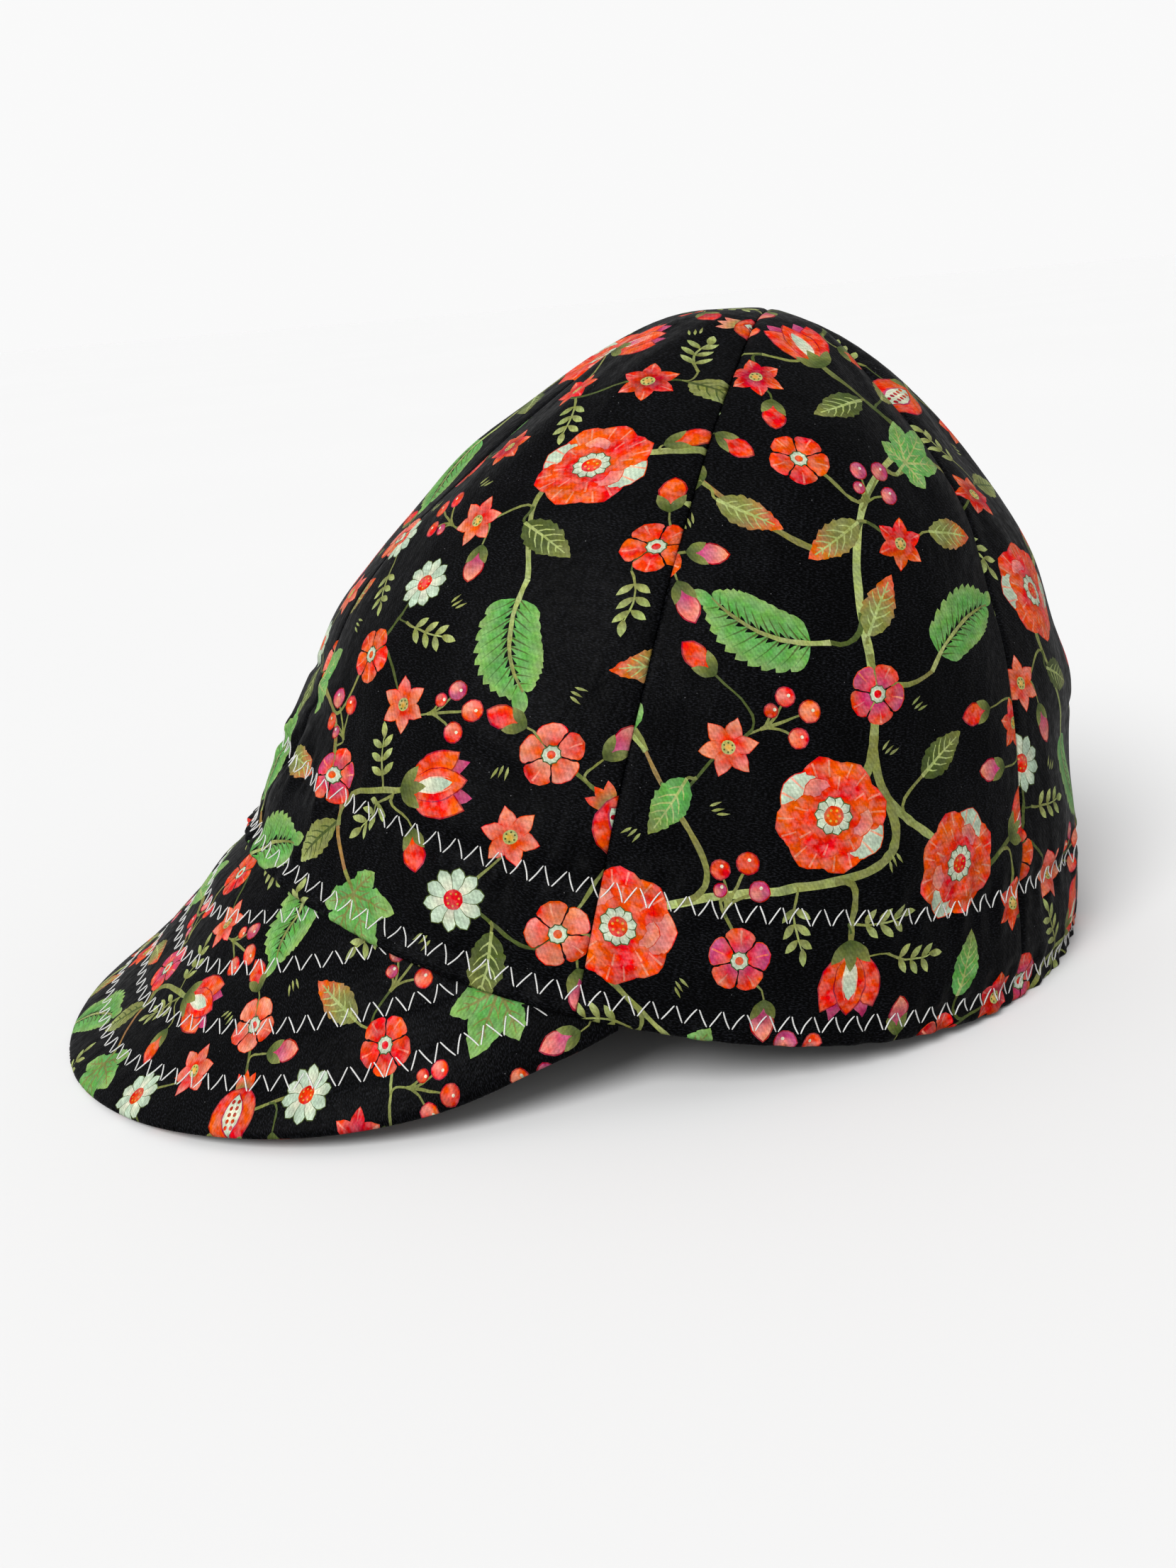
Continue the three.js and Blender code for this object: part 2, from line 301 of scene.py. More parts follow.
def peony(pick: random.Random) -> list[Patch]:
    """A full flower of 14 mm radius with three rings of petals round a pale collar."""
    accent = pick.choice([PINK, PALE])
    rings = [
        PetalRing(8, 14.2, 11.6, (RED, RED, accent, RED), teeth=5, depth=0.15, streaks=2),
        PetalRing(8, 10.2, 7.6, (RED, RED, PINK), teeth=4, depth=0.14, streaks=1),
        PetalRing(7, 6.9, 5.2, (DEEP,)),
        PetalRing(10, 4.8, 2.7, (PALE,), Tone.MOSS, widest=0.75),
    ]
    patches = [patch for ring in rings for patch in ring.patches(pick.random())]
    return patches + [spot(2.4, HEART, 16)] + dots(6, 1.4, 0.34, Tone.GOLD)


def blossom(pick: random.Random) -> list[Patch]:
    """A flower of five notched petals, 7.6 mm in radius."""
    inks = pick.choice([DEEP, (Tone.MAGENTA, Tone.VERMILION), RED, (Tone.SCARLET, Tone.ROSE)])
    ring = PetalRing(5, 7.6, 7.0, (inks, inks[::-1]), widest=0.72, blunt=0.62, teeth=3, line=0.2, streaks=1)
    return ring.patches(pick.random()) + [
        Patch(disc(2.4, 27, 9, 0.2), Tone.MOSS, Tone.MOSS),
        Patch(disc(2.1, 27, 9, 0.2), *PALE, reach=2.1),
        Patch(disc(1.0), *HEART, reach=1.1),
    ]


def star(pick: random.Random) -> list[Patch]:
    """A flower of six pointed petals, 7.4 mm in radius."""
    inks = pick.choice([RED, DEEP, (Tone.SCARLET, Tone.ROSE)])
    ring = PetalRing(6, 7.4, 4.4, (inks,), widest=0.48, blunt=1.0, line=0.2, streaks=1)
    heart = spot(1.7, (Tone.GOLD, Tone.LIME), 14)
    return ring.patches(pick.random()) + [heart] + dots(6, 1.1, 0.26, Tone.MOSS)


def daisy(pick: random.Random) -> list[Patch]:
    """A pale flower of ten slim petals, 7.6 mm in radius."""
    ring = PetalRing(10, 7.6, 3.7, (PALE, (Tone.MINT, Tone.MINT)), Tone.MOSS, widest=0.7, blunt=0.6)
    return ring.patches(pick.random()) + [spot(2.4, HEART, 14)] + dots(7, 1.45, 0.28, Tone.GOLD)


def tulip(pick: random.Random) -> list[Patch]:
    """A flower seen from the side, its base at the origin, 20 mm long."""
    patches = [petal((18.5, 5.4, 0.6, 0.9), (Tone.CRIMSON, Tone.MAGENTA), 18.0, a) for a in (-0.24, 0.24)]
    for a in (-0.42, 0.42, 0.0):
        patches.append(petal((17.2, 8.6, 0.52, 0.85), SHADE, turn=a))
        patches.append(petal((16.8, 7.9, 0.52, 0.85), RED, 14.0, a))
    patches.append(petal((11.0, 4.1, 0.55, 0.9), pick.choice([PALE, PINK]), at=(2.3, 0.0)))
    for side in (-1.0, 1.0):
        curve = np.array([[3.0, 0.4 * side], [6.0, 2.0 * side], [10.0, 2.4 * side], [13.0, side]])
        patches.append(Patch(ribbon(bezier(curve, 8), 0.5, 0.2), Tone.CREAM, Tone.ROSE, (3.0, 0.0)))
    return patches + [petal((7.6, 3.2, 0.5, 0.9), CALYX, 7.0, a, (-1.4, 0.0)) for a in (-0.75, 0.75, 0.0)]


def pomegranate(pick: random.Random) -> list[Patch]:
    """A cut fruit with its crown, its base at the origin, 19 mm long."""
    crown = pick.choice([Tone.VERMILION, Tone.ROSE])
    middle = (8.0, 0.0)
    patches = [petal((6.4, 2.8, 0.45, 0.9), (Tone.OLIVE, crown), 6.0, a, (13.4, 0.0))
               for a in (-0.5, 0.5, 0.0)]
    patches += [
        spot(7.3, SHADE, 26, middle),
        Patch(turned(disc(6.95, 26), 0.0, middle), *HEART, (6.4, 1.8), 8.0),
        Patch(turned(blade(11.6, 6.6, 0.5, 0.8), 0.0, (2.3, 0.0)), Tone.MAGENTA, Tone.CRIMSON, middle, 6.0),
        Patch(turned(blade(10.6, 5.6, 0.5, 0.8), 0.0, (2.8, 0.0)), *PALE, middle, 5.0),
    ]
    seed = Patch(disc(0.62, 7), Tone.VERMILION, Tone.CRIMSON)
    places = [(x, y) for x in np.linspace(4.8, 11.4, 5) for y in (-0.95, 0.95)]
    patches += [replace(seed, outline=seed.outline + place) for place in places]
    return patches + [petal((6.2, 2.7, 0.5, 0.9), CALYX, 6.0, a, (-0.9, 0.0)) for a in (-0.9, 0.9)]


def frond(pick: random.Random) -> list[Patch]:
    """A feathered leaf with its base at the origin, 31 mm long."""
    bend = pick.choice((-1.0, 1.0))
    rib = bezier(np.array([[0.0, 0.0], [9.0, 4.6 * bend], [20.0, 5.4 * bend], [30.0, 0.0]]), 12)
    along = np.gradient(rib, axis=0)
    patches = []
    for i in range(2, 12):
        size = 10.5 * math.sin(math.pi * (0.16 + 0.8 * i / 12)) ** 0.8
        vein = ribbon(np.array([[0.5, 0.0], [size * 0.45, 0.15], [size * 0.8, 0.0]]), 0.45, 0.2)
        for side in (-1.0, 1.0):
            turn = math.atan2(along[i][1], along[i][0]) + side * 0.9
            patches.append(petal((size, 3.9, 0.62, 0.7), FRESH, size * 1.7, turn, tuple(rib[i])))
            patches.append(Patch(turned(vein, turn, rib[i]), Tone.MOSS, Tone.LEAF, tuple(rib[i]), size))
    patches.append(petal((8.0, 3.8, 0.6, 0.8), FRESH, 12.0, -0.1 * bend, tuple(rib[-2])))
    patches.append(Patch(ribbon(rib, 1.4, 0.5), Tone.LIME, Tone.OLIVE, reach=30.0))
    return patches


def leaf(pick: random.Random) -> list[Patch]:
    """A toothed leaf with its base at the origin, 17 mm long."""
    inner, outer, rib = pick.choice([
        (*CALYX, Tone.LIME),
        (*SHOOT, Tone.MOSS),
        (Tone.OLIVE, Tone.VERMILION, Tone.LIME),
        (Tone.LEAF, Tone.OLIVE, Tone.LIME),
    ])
    edge = blade(17.0, 9.0, 0.42, 0.85, 7, 0.16, 28)
    return [Patch(edge, inner, outer, (4.0, 0.0), 15.0)] + veins(16.0, 8.8, 5, rib)


def ivy(pick: random.Random) -> list[Patch]:
    """A leaf of five pointed lobes, its base at the origin, 24 mm long."""
    rib = pick.choice([Tone.OLIVE, Tone.LIME])
    heart = (5.4, 0.0)
    lobes = ((-1.75, 9.2, 6.6), (1.75, 9.2, 6.6), (-0.8, 13.6, 8.0), (0.8, 13.6, 8.0), (0.0, 17.6, 9.2))
    patches = [petal((size, wide, 0.5, 0.85, 4, 0.14, 20), FRESH, size * 1.7, a, heart)
               for a, size, wide in lobes]
    patches.append(spot(4.4, (Tone.LEAF, Tone.LEAF), 16, (6.2, 0.0)))
    for a, size, wide in lobes:
        patches += [vein.moved(a, heart) for vein in veins(0.9 * size, 0.88 * wide, 3, rib)]
    patches.append(Patch(ribbon(np.array([[-1.0, 0.0], [3.0, 0.2], [6.0, 0.0]]), 1.2, 0.8), rib, rib))
    return patches


def berries(pick: random.Random) -> list[Patch]:
    """A spray of round berries on thin stalks, its base at the origin, 15 mm long."""
    ends = [(12.6, 0.0, 2.8), (8.3, 5.2, 2.5), (7.8, -5.0, 2.6), (3.9, 3.2, 1.8)]
    patches = []
    for x, y, _ in ends:
        stalk = bezier(np.array([[0.0, 0.0], [x * 0.4, 0.0], [x * 0.7, y * 0.5], [x, y]]), 6)
        patches.append(Patch(ribbon(stalk, 0.8, 0.5), Tone.OLIVE, Tone.OLIVE))
    for x, y, size in ends:
        inks = pick.choice([(Tone.ROSE, Tone.VERMILION), HEART, (Tone.ROSE, Tone.MAGENTA)])
        berry = [spot(size, SHADE, 14), Patch(disc(size - 0.3, 14), *inks, (-0.8, 0.8), size),
                 spot(0.45, (Tone.CREAM, Tone.CREAM), 6, (0.9, 0.0))]
        patches += [one.moved(0.0, (x, y)) for one in berry]
    return patches


def bud(pick: random.Random) -> list[Patch]:
    """A closed bud in its calyx, its base at the origin, 11 mm long."""
    inks = pick.choice([DEEP, PINK, RED])
    foot = (2.4, 0.0)
    inside = Patch(turned(blade(8.1, 5.3, 0.5, 0.75), 0.0, (2.5, 0.0)), *inks, foot, 8.0)
    return [petal((8.6, 6.0, 0.5, 0.75), SHADE, at=foot), inside] + [
        petal((6.2, 2.5, 0.5, 0.9), CALYX, 6.0, a) for a in (-0.5, 0.5)]


def sprig(pick: random.Random) -> list[Patch]:
    """A twig with pairs of small plain leaves, its base at the origin, 16 mm long."""
    bend = pick.uniform(-3.0, 3.0)
    twig = bezier(np.array([[0.0, 0.0], [5.0, bend], [10.0, bend], [14.0, 0.0]]), 8)
    patches = [Patch(ribbon(twig, 0.7, 0.3), *SHOOT, reach=14.0)]
    patches += [petal((4.6, 1.9, 0.5, 0.8), SHOOT, 4.0, a, tuple(twig[i]))
                for i in (2, 4, 6) for a in (-0.9, 0.9)]
    return patches + [petal((4.6, 2.0, 0.5, 0.8), SHOOT, 4.0, 0.0, (13.0, 0.0))]


def drops(pick: random.Random) -> list[Patch]:
    """Three small drops side by side."""
    lean = pick.uniform(1.1, 1.5)
    return [Patch(turned(blade(3.3, 0.7, 0.6, 0.8, steps=5), lean + 0.16 * i, (1.7 * i, -0.4 * abs(i))),
                  *SHOOT, reach=4.0) for i in (-1, 0, 1)]


@dataclass(frozen=True)
class Planting:
    """How a motif is sown: its maker, how many, the room each keeps, its middle, and its stem's width."""

    draw: Callable[[random.Random], list[Patch]]
    count: int
    room: float
    centre: float
    stem: float


# In the order in which they are sown, largest first.
PLANTINGS = (
    Planting(peony, 4, 16.0, 0.0, 2.2),
    Planting(ivy, 3, 13.5, 10.0, 1.4),
    Planting(frond, 4, 15.0, 15.5, 1.4),
    Planting(tulip, 4, 10.5, 9.0, 1.6),
    Planting(pomegranate, 3, 10.5, 8.5, 1.6),
    Planting(blossom, 10, 8.6, 0.0, 0.9),
    Planting(daisy, 4, 8.6, 0.0, 0.9),
    Planting(star, 11, 8.0, 0.0, 0.8),
    Planting(leaf, 14, 9.0, 8.0, 0.8),
    Planting(berries, 9, 8.2, 7.5, 0.6),
    Planting(sprig, 14, 7.0, 7.5, 0.5),
    Planting(bud, 18, 6.0, 5.5, 0.6),
    Planting(drops, 16, 3.6, 0.0, 0.0),
)


@dataclass
class PrintDesign:
    """The repeat of the printed cloth: motifs sown with even room, and branching stems that join them."""

    width: float = 150.0
    height: float = 190.0
    seed: int = 12
    wobble: float = 0.16
    scale: float = 0.85
    tries: int = 700
    slacks: tuple[float, ...] = (1.0, 0.9, 0.8)
    lean: float = 0.45
    stem_reach: float = 40.0
    too_near: float = 40.0
    patches: list[Patch] = field(default_factory=list)

    @property
    def size(self) -> Array:
        """The repeat's width and height."""
        return np.array([self.width, self.height])

    def grow(self) -> None:
        """Sows the motifs, largest first, and draws their stems beneath them."""
        pick = random.Random(self.seed)
        taken: list[tuple[Array, float]] = []
        stems: list[Patch] = []
        motifs: list[Patch] = []
        twigs = np.zeros((0, 4))
        for planting in (one for one in PLANTINGS for _ in range(one.count)):
            middle = self.free_place(pick, taken, planting.room)
            if middle is None:
                continue
            taken.append((middle, planting.room))
            turn = pick.uniform(0.0, 2.0 * math.pi)
            if planting.stem:
                turn, path = self.stem(pick, planting, middle, turn, twigs)
                inks = pick.choice([SHOOT, (Tone.OLIVE, Tone.BARK), CALYX])
                brush = ribbon(path, planting.stem, 0.7 * planting.stem)
                stems.append(Patch(brush, *inks, tuple(path[0]), self.stem_reach))
                sprouts = path[len(path) // 4:]
                twigs = np.concatenate([twigs, np.hstack([sprouts, unit(np.gradient(sprouts, axis=0))])])
            base = middle - self.scale * planting.centre * np.array([math.cos(turn), math.sin(turn)])
            motifs += [patch.sized(self.scale).moved(turn, tuple(base)) for patch in planting.draw(pick)]
        self.patches = [self.by_hand(patch) for patch in stems + motifs]

    def stem(self, pick: random.Random, planting: Planting, middle: Array, turn: float,
             twigs: Array) -> tuple[float, Array]:
        """Leads a stem from the nearest twig to a motif, or starts the first one.

        Args:
            pick: The design's random picks.
            planting: What the stem carries.
            middle: The motif's middle.
            turn: The motif's turn if nothing leads to it.
            twigs: Where a stem can start, and which way the twig runs there.

        Returns:
            The motif's turn, and the stem's line.
        """
        if not len(twigs):
            shape = np.array([[0.0, 0.0], [25.0, 18.0], [-15.0, 55.0], [20.0, 80.0]])
            return turn, bezier(middle + shape, 40)
        near = self.nearest(middle, twigs[:, :2])
        gap = np.linalg.norm(near - middle, axis=1)
        gap[gap < planting.room * 0.9] += self.too_near
        i = int(np.argmin(gap))
        foot, way = near[i], twigs[i, 2:]
        turn = math.atan2(middle[1] - foot[1], middle[0] - foot[0]) + pick.uniform(-self.lean, self.lean)
        aim = np.array([math.cos(turn), math.sin(turn)])
        base = middle - self.scale * planting.centre * aim
        length = float(np.linalg.norm(base - foot))
        side = 1.0 if way @ (base - foot) > 0.0 else -1.0
        shape = np.array([foot, foot + way * side * length * 0.5, base - aim * length * 0.45, base])
        return turn, bezier(shape, max(6, int(length / 1.6)))

    def nearest(self, here: Array, there: Array) -> Array:
        """The copies of some points that lie nearest to a place, over the repeat's edges."""
        return there - self.size * np.round((there - here) / self.size)

    def free_place(self, pick: random.Random, taken: list[tuple[Array, float]], room: float) -> Optional[Array]:
        """A place in the repeat that keeps its room from every motif, or None."""
        centres = np.array([middle for middle, _ in taken]).reshape(-1, 2)
        rooms = np.array([other for _, other in taken])
        for slack in (one for one in self.slacks for _ in range(self.tries)):
            here = np.array([pick.uniform(0.0, self.width), pick.uniform(0.0, self.height)])
            gap = np.linalg.norm(self.nearest(here, centres) - here, axis=1)
            if np.all(gap > slack * (room + rooms)):
                return here
        return None

    def by_hand(self, patch: Patch) -> Patch:
        """The patch with the small waver of a line drawn by hand."""
        x, y = patch.outline[:, 0], patch.outline[:, 1]
        size = float(np.ptp(x) + np.ptp(y)) / 2.0
        most = min(self.wobble, 0.02 * size)
        waver = np.stack([np.sin(2.1 * x + 1.3 * y) + np.sin(3.7 * y - 0.8 * x),
                          np.sin(1.9 * y - 1.1 * x) + np.sin(3.3 * x + 0.9 * y)], 1)
        return replace(patch, outline=patch.outline + 0.5 * most * waver)

    def over(self, low: Array, high: Array, shift: Array) -> list[Patch]:
        """The patches of the endless cloth, moved by a shift, that reach into a box."""
        found = []
        for patch in self.patches:
            least, most = patch.outline.min(0) + shift, patch.outline.max(0) + shift
            first = np.floor((low - most) / self.size).astype(int) + 1
            last = np.ceil((high - least) / self.size).astype(int)
            found += [patch.moved(0.0, tuple(shift + self.size * (i, j)))
                      for i in range(first[0], last[0]) for j in range(first[1], last[1])]
        return found


class Panel(Enum):
    """The crown's panels: the solid that each stands for, and its seams in degrees from the front."""

    FRONT_LEFT = ("crown_panel_front_left", 0.0, 62.0)
    SIDE_LEFT = ("crown_panel_side_left", 62.0, 122.0)
    BACK_LEFT = ("crown_panel_back_left", 122.0, 180.0)
    BACK_RIGHT = ("crown_panel_back_right", 180.0, 238.0)
    SIDE_RIGHT = ("crown_panel_side_right", 238.0, 298.0)
    FRONT_RIGHT = ("crown_panel_front_right", 298.0, 360.0)

    @property
    def seams(self) -> Pair:
        """The turns of the panel's two seams."""
        return self.value[1], self.value[2]


class Face(Enum):
    """The two faces of a cloth."""

    RIGHT = 0
    WRONG = 1


@dataclass(frozen=True)
class Dent:
    """A soft dent: its turn in degrees, its height as a share of the crown's, its spread and its depth."""

    turn: float
    height: float
    around: float
    up: float
    depth: float


# How far below the apex, and the share of the radius there facing forwards, sideways and backwards.
MERIDIANS = np.array([
    [0.00, 0.000, 0.000, 0.000],
    [0.08, 0.080, 0.080, 0.045],
    [0.15, 0.180, 0.178, 0.115],
    [0.30, 0.335, 0.345, 0.305],
    [0.45, 0.510, 0.545, 0.500],
    [0.60, 0.697, 0.725, 0.706],
    [0.75, 0.859, 0.858, 0.849],
    [0.88, 0.937, 0.958, 0.924],
    [1.00, 1.000, 1.000, 1.000],
]).T

# Half of the peak, from its middle to its end: share across, share of the reach, fall and aim.
PEAK_SHAPE = np.array([
    [0.00, 1.000, 54.5, 1.22],
    [0.25, 0.915, 53.5, 1.20],
    [0.50, 0.710, 52.0, 1.10],
    [0.75, 0.410, 55.5, 0.92],
    [0.90, 0.170, 63.0, 0.79],
    [1.00, 0.020, 72.0, 0.68],
]).T

DENTS = (
    Dent(75, 0.30, 13, 0.15, 0.80),
    Dent(98, 0.27, 16, 0.10, -0.45),
    Dent(20, 0.30, 16, 0.12, 0.55),
    Dent(40, 0.52, 15, 0.20, 0.40),
    Dent(148, 0.34, 18, 0.16, 0.60),
    Dent(180, 0.33, 34, 0.16, -0.95),
    Dent(180, 0.18, 38, 0.08, 0.90),
    Dent(215, 0.45, 18, 0.20, 0.55),
    Dent(258, 0.31, 16, 0.14, 0.80),
    Dent(284, 0.50, 14, 0.22, 0.50),
    Dent(326, 0.33, 15, 0.15, 0.70),
    Dent(350, 0.66, 22, 0.16, 0.35),
)


def rounding(distance: Array, radius: float) -> Array:
    """1 at a cloth's folded edge, falling to 0 where its round ends."""
    away = 1.0 - np.clip(distance / radius, 0.0, 1.0)
    return 1.0 - np.sqrt(np.maximum(1.0 - away * away, 0.0))


@dataclass
class CapForm:
    """The cap's form, as its solids have it, in millimetres about the middle of the rim."""

    head_length: float = 210.0
    head_width: float = 179.0
    crown_height: float = 142.0
    apex_setback: float = 6.0
    rim_dip: float = 6.4
    cloth: float = 1.6
    panel_swell: float = 2.2
    dent_depth: float = 2.6
    band_height: float = 25.0
    band_cloth: float = 1.4
    band_swell: float = 1.0
    clearance: float = 0.3
    peak_reach: float = 64.6
    peak_half_turn: float = 67.0
    peak_cloth: float = 2.4
    peak_sag: float = 3.8
    peak_lift: float = 2.5
    lift_run: float = 14.0
    hem_flare: float = 2.4
    flare_height: float = 9.0
    root_cloth: float = 1.5
    root_height: float = 11.0
    rest_flat: float = 1.2
    peak_columns: int = 36
    tilt: float = field(init=False, default=0.0)
    floor: float = field(init=False, default=0.0)
    shift: Array = field(init=False, default=None)

    def __post_init__(self) -> None:
        """Finds how the cap rests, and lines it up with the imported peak."""
        across = np.linspace(-1.0, 1.0, self.peak_columns + 1)
        reach = self.reach(across)
        wall = self.peak_wall(reach) / 2.0
        edges = [self.peak(across, reach, wall / 2.0 + depth * wall) for depth in (0.0, 1.0)]
        turns = np.arange(90.0, 271.0, 6.0)
        rim = self.crown(turns, np.ones_like(turns), -self.cloth / 2.0)
        low, high = 0.0, math.radians(35.0)
        while high - low > 1e-6:
            middle = (low + high) / 2.0
            if self.level(edges[1], middle) < self.level(rim, middle):
                low = middle
            else:
                high = middle
        self.tilt, self.floor = low, self.level(rim, low)
        self.shift = np.zeros(3)
        own = self.settle(np.concatenate(edges)).min(0)
        self.shift = np.array([0.0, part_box("peak")[0][1] - own[1], 0.0])

    @staticmethod
    def level(points: Array, tilt: float) -> float:
        """The lowest level of some points once the cap is tipped back."""
        return float((points[:, 2] * math.cos(tilt) - points[:, 1] * math.sin(tilt)).min())

    def tip(self, vectors: Array) -> Array:
        """Directions on the upright cap, tipped back with it."""
        c, s = math.cos(self.tilt), math.sin(self.tilt)
        x, y, z = np.moveaxis(vectors, -1, 0)
        return np.stack([x, z * s + y * c, z * c - y * s], -1)

    def settle(self, points: Array) -> Array:
        """Places on the upright cap, tipped back to rest, flattened on the surface, in metres."""
        placed = self.tip(points)
        placed[..., 2] = np.maximum(placed[..., 2] - self.floor - self.rest_flat, 0.0)
        return placed * MM + self.shift

    def height_at(self, below: Array) -> Array:
        """Height over the rim of a place below the apex."""
        return self.crown_height * (1.0 - below ** 2)

    def below_at(self, height: Array) -> Array:
        """How far below the apex a height lies."""
        return np.sqrt(np.maximum(1.0 - height / self.crown_height, 0.0))

    def dome(self, turn: Array, below: Array) -> Array:
        """The crown as a smooth dome, before its seams, swells and dents."""
        angle = np.radians(turn)
        front, side, back = (curve_through(MERIDIANS[0], row, below) for row in MERIDIANS[1:])
        ahead = np.cos(angle) ** 2
        share = ahead * np.where(np.cos(angle) > 0.0, front, back) + (1.0 - ahead) * side
        risen = 1.0 - below ** 2
        return np.stack([
            self.head_width / 2.0 * share * np.sin(angle),
            -self.head_length / 2.0 * share * np.cos(angle) + self.apex_setback * risen,
            self.crown_height * risen + self.rim_dip * np.cos(2.0 * angle) * below ** 4,
        ], -1)

    def dome_normal(self, turn: Array, below: Array) -> Array:
        """Which way the dome faces."""
        upper = np.maximum(below - 0.01, 0.002)
        around = self.dome(turn + 1.0, below) - self.dome(turn - 1.0, below)
        upwards = self.dome(turn, upper) - self.dome(turn, upper + 0.02)
        return unit(np.cross(around, upwards))

    def relief(self, turn: Array, below: Array) -> Array:
        """How far the cloth stands out from the smooth dome, in its large forms."""
        place = np.mod(turn, 360.0)
        seams = np.array([panel.seams for panel in Panel])
        row = np.minimum(np.searchsorted(seams[:, 1], place, side="left"), len(seams) - 1)
        height = self.height_at(below)
        crown_share = 0.3 + 0.7 * smooth(height, self.band_height / 2.0, 2.0 * self.band_height)
        middle = np.sin(math.pi * (place - seams[row, 0]) / (seams[row, 1] - seams[row, 0]))
        out = self.panel_swell * (middle - 0.6) * crown_share * smooth(below, 0.0, 0.4)
        out = out + self.band_swell * swell(2.0 * height / self.band_height - 1.0)
        aside = np.abs(half_turn(turn))
        over_peak = 1.0 - smooth(aside, self.peak_half_turn - 15.0, self.peak_half_turn + 8.0)
        out = out + self.hem_flare * over_peak * (1.0 - smooth(height, 0.0, self.flare_height))
        for dent in DENTS:
            away = half_turn(place - dent.turn)
            over = height / self.crown_height - dent.height
            out = out - self.dent_depth * dent.depth * swell(away / dent.around) * swell(over / dent.up)
        return out

    def crown(self, turn: Array, below: Array, out: Array) -> Array:
        """A place on the crown, or some way outside it."""
        away = (self.relief(turn, below) + out)[..., None]
        return self.dome(turn, below) + self.dome_normal(turn, below) * away

    def reach(self, across: Array) -> Array:
        """The peak's length from the rim to its edge."""
        return self.peak_reach * curve_through(PEAK_SHAPE[0], PEAK_SHAPE[1], np.abs(across), True)

    def peak_wall(self, run: Array) -> Array:
        """The peak's thickness, growing from its root."""
        return self.root_cloth + (self.peak_cloth - self.root_cloth) * smooth(run, 0.0, 3.0 * self.peak_cloth)

    def peak(self, across: Array, run: Array, depth: Array) -> Array:
        """A place on the peak: a share across, a run out from the rim, and a depth under its upper face."""
        turn = across * self.peak_half_turn
        fall = np.radians(curve_through(PEAK_SHAPE[0], PEAK_SHAPE[2], np.abs(across), True))
        aim = np.radians(turn) * curve_through(PEAK_SHAPE[0], PEAK_SHAPE[3], np.abs(across), True)
        ahead = np.stack([np.sin(aim), -np.cos(aim), np.zeros_like(aim)], -1)
        upwards = np.array([0.0, 0.0, 1.0])
        cos, sin = np.cos(fall)[..., None], np.sin(fall)[..., None]
        out = np.maximum(run, 0.0)
        sag = self.peak_sag * 4.0 * (out / self.peak_reach) * (1.0 - out / self.peak_reach)
        sag = sag - self.peak_lift * smooth(out, 0.0, self.lift_run)
        full = smooth(out, 0.0, 3.0 * self.peak_cloth)[..., None]
        root = self.crown(turn, self.below_at(np.maximum(-run, 0.0)), -(self.cloth + self.clearance))
        facing = self.dome_normal(turn, self.below_at(np.maximum(-run, 0.0)))
        normal = ahead * sin + upwards * cos
        through = unit(facing * (1.0 - full) + normal * full)
        return (root + (ahead * cos - upwards * sin) * out[..., None] - normal * sag[..., None]
                - through * depth[..., None])

    def root_share(self, turn: Array, height: Array) -> Array:
        """How much room the peak's root takes between crown and band, from 0 to 1."""
        away = np.abs(half_turn(turn))
        aside = 1.0 - smooth(away, self.peak_half_turn + 2.0, self.peak_half_turn + 14.0)
        return aside * (1.0 - smooth(height, self.root_height + 1.0, self.root_height + 9.0))


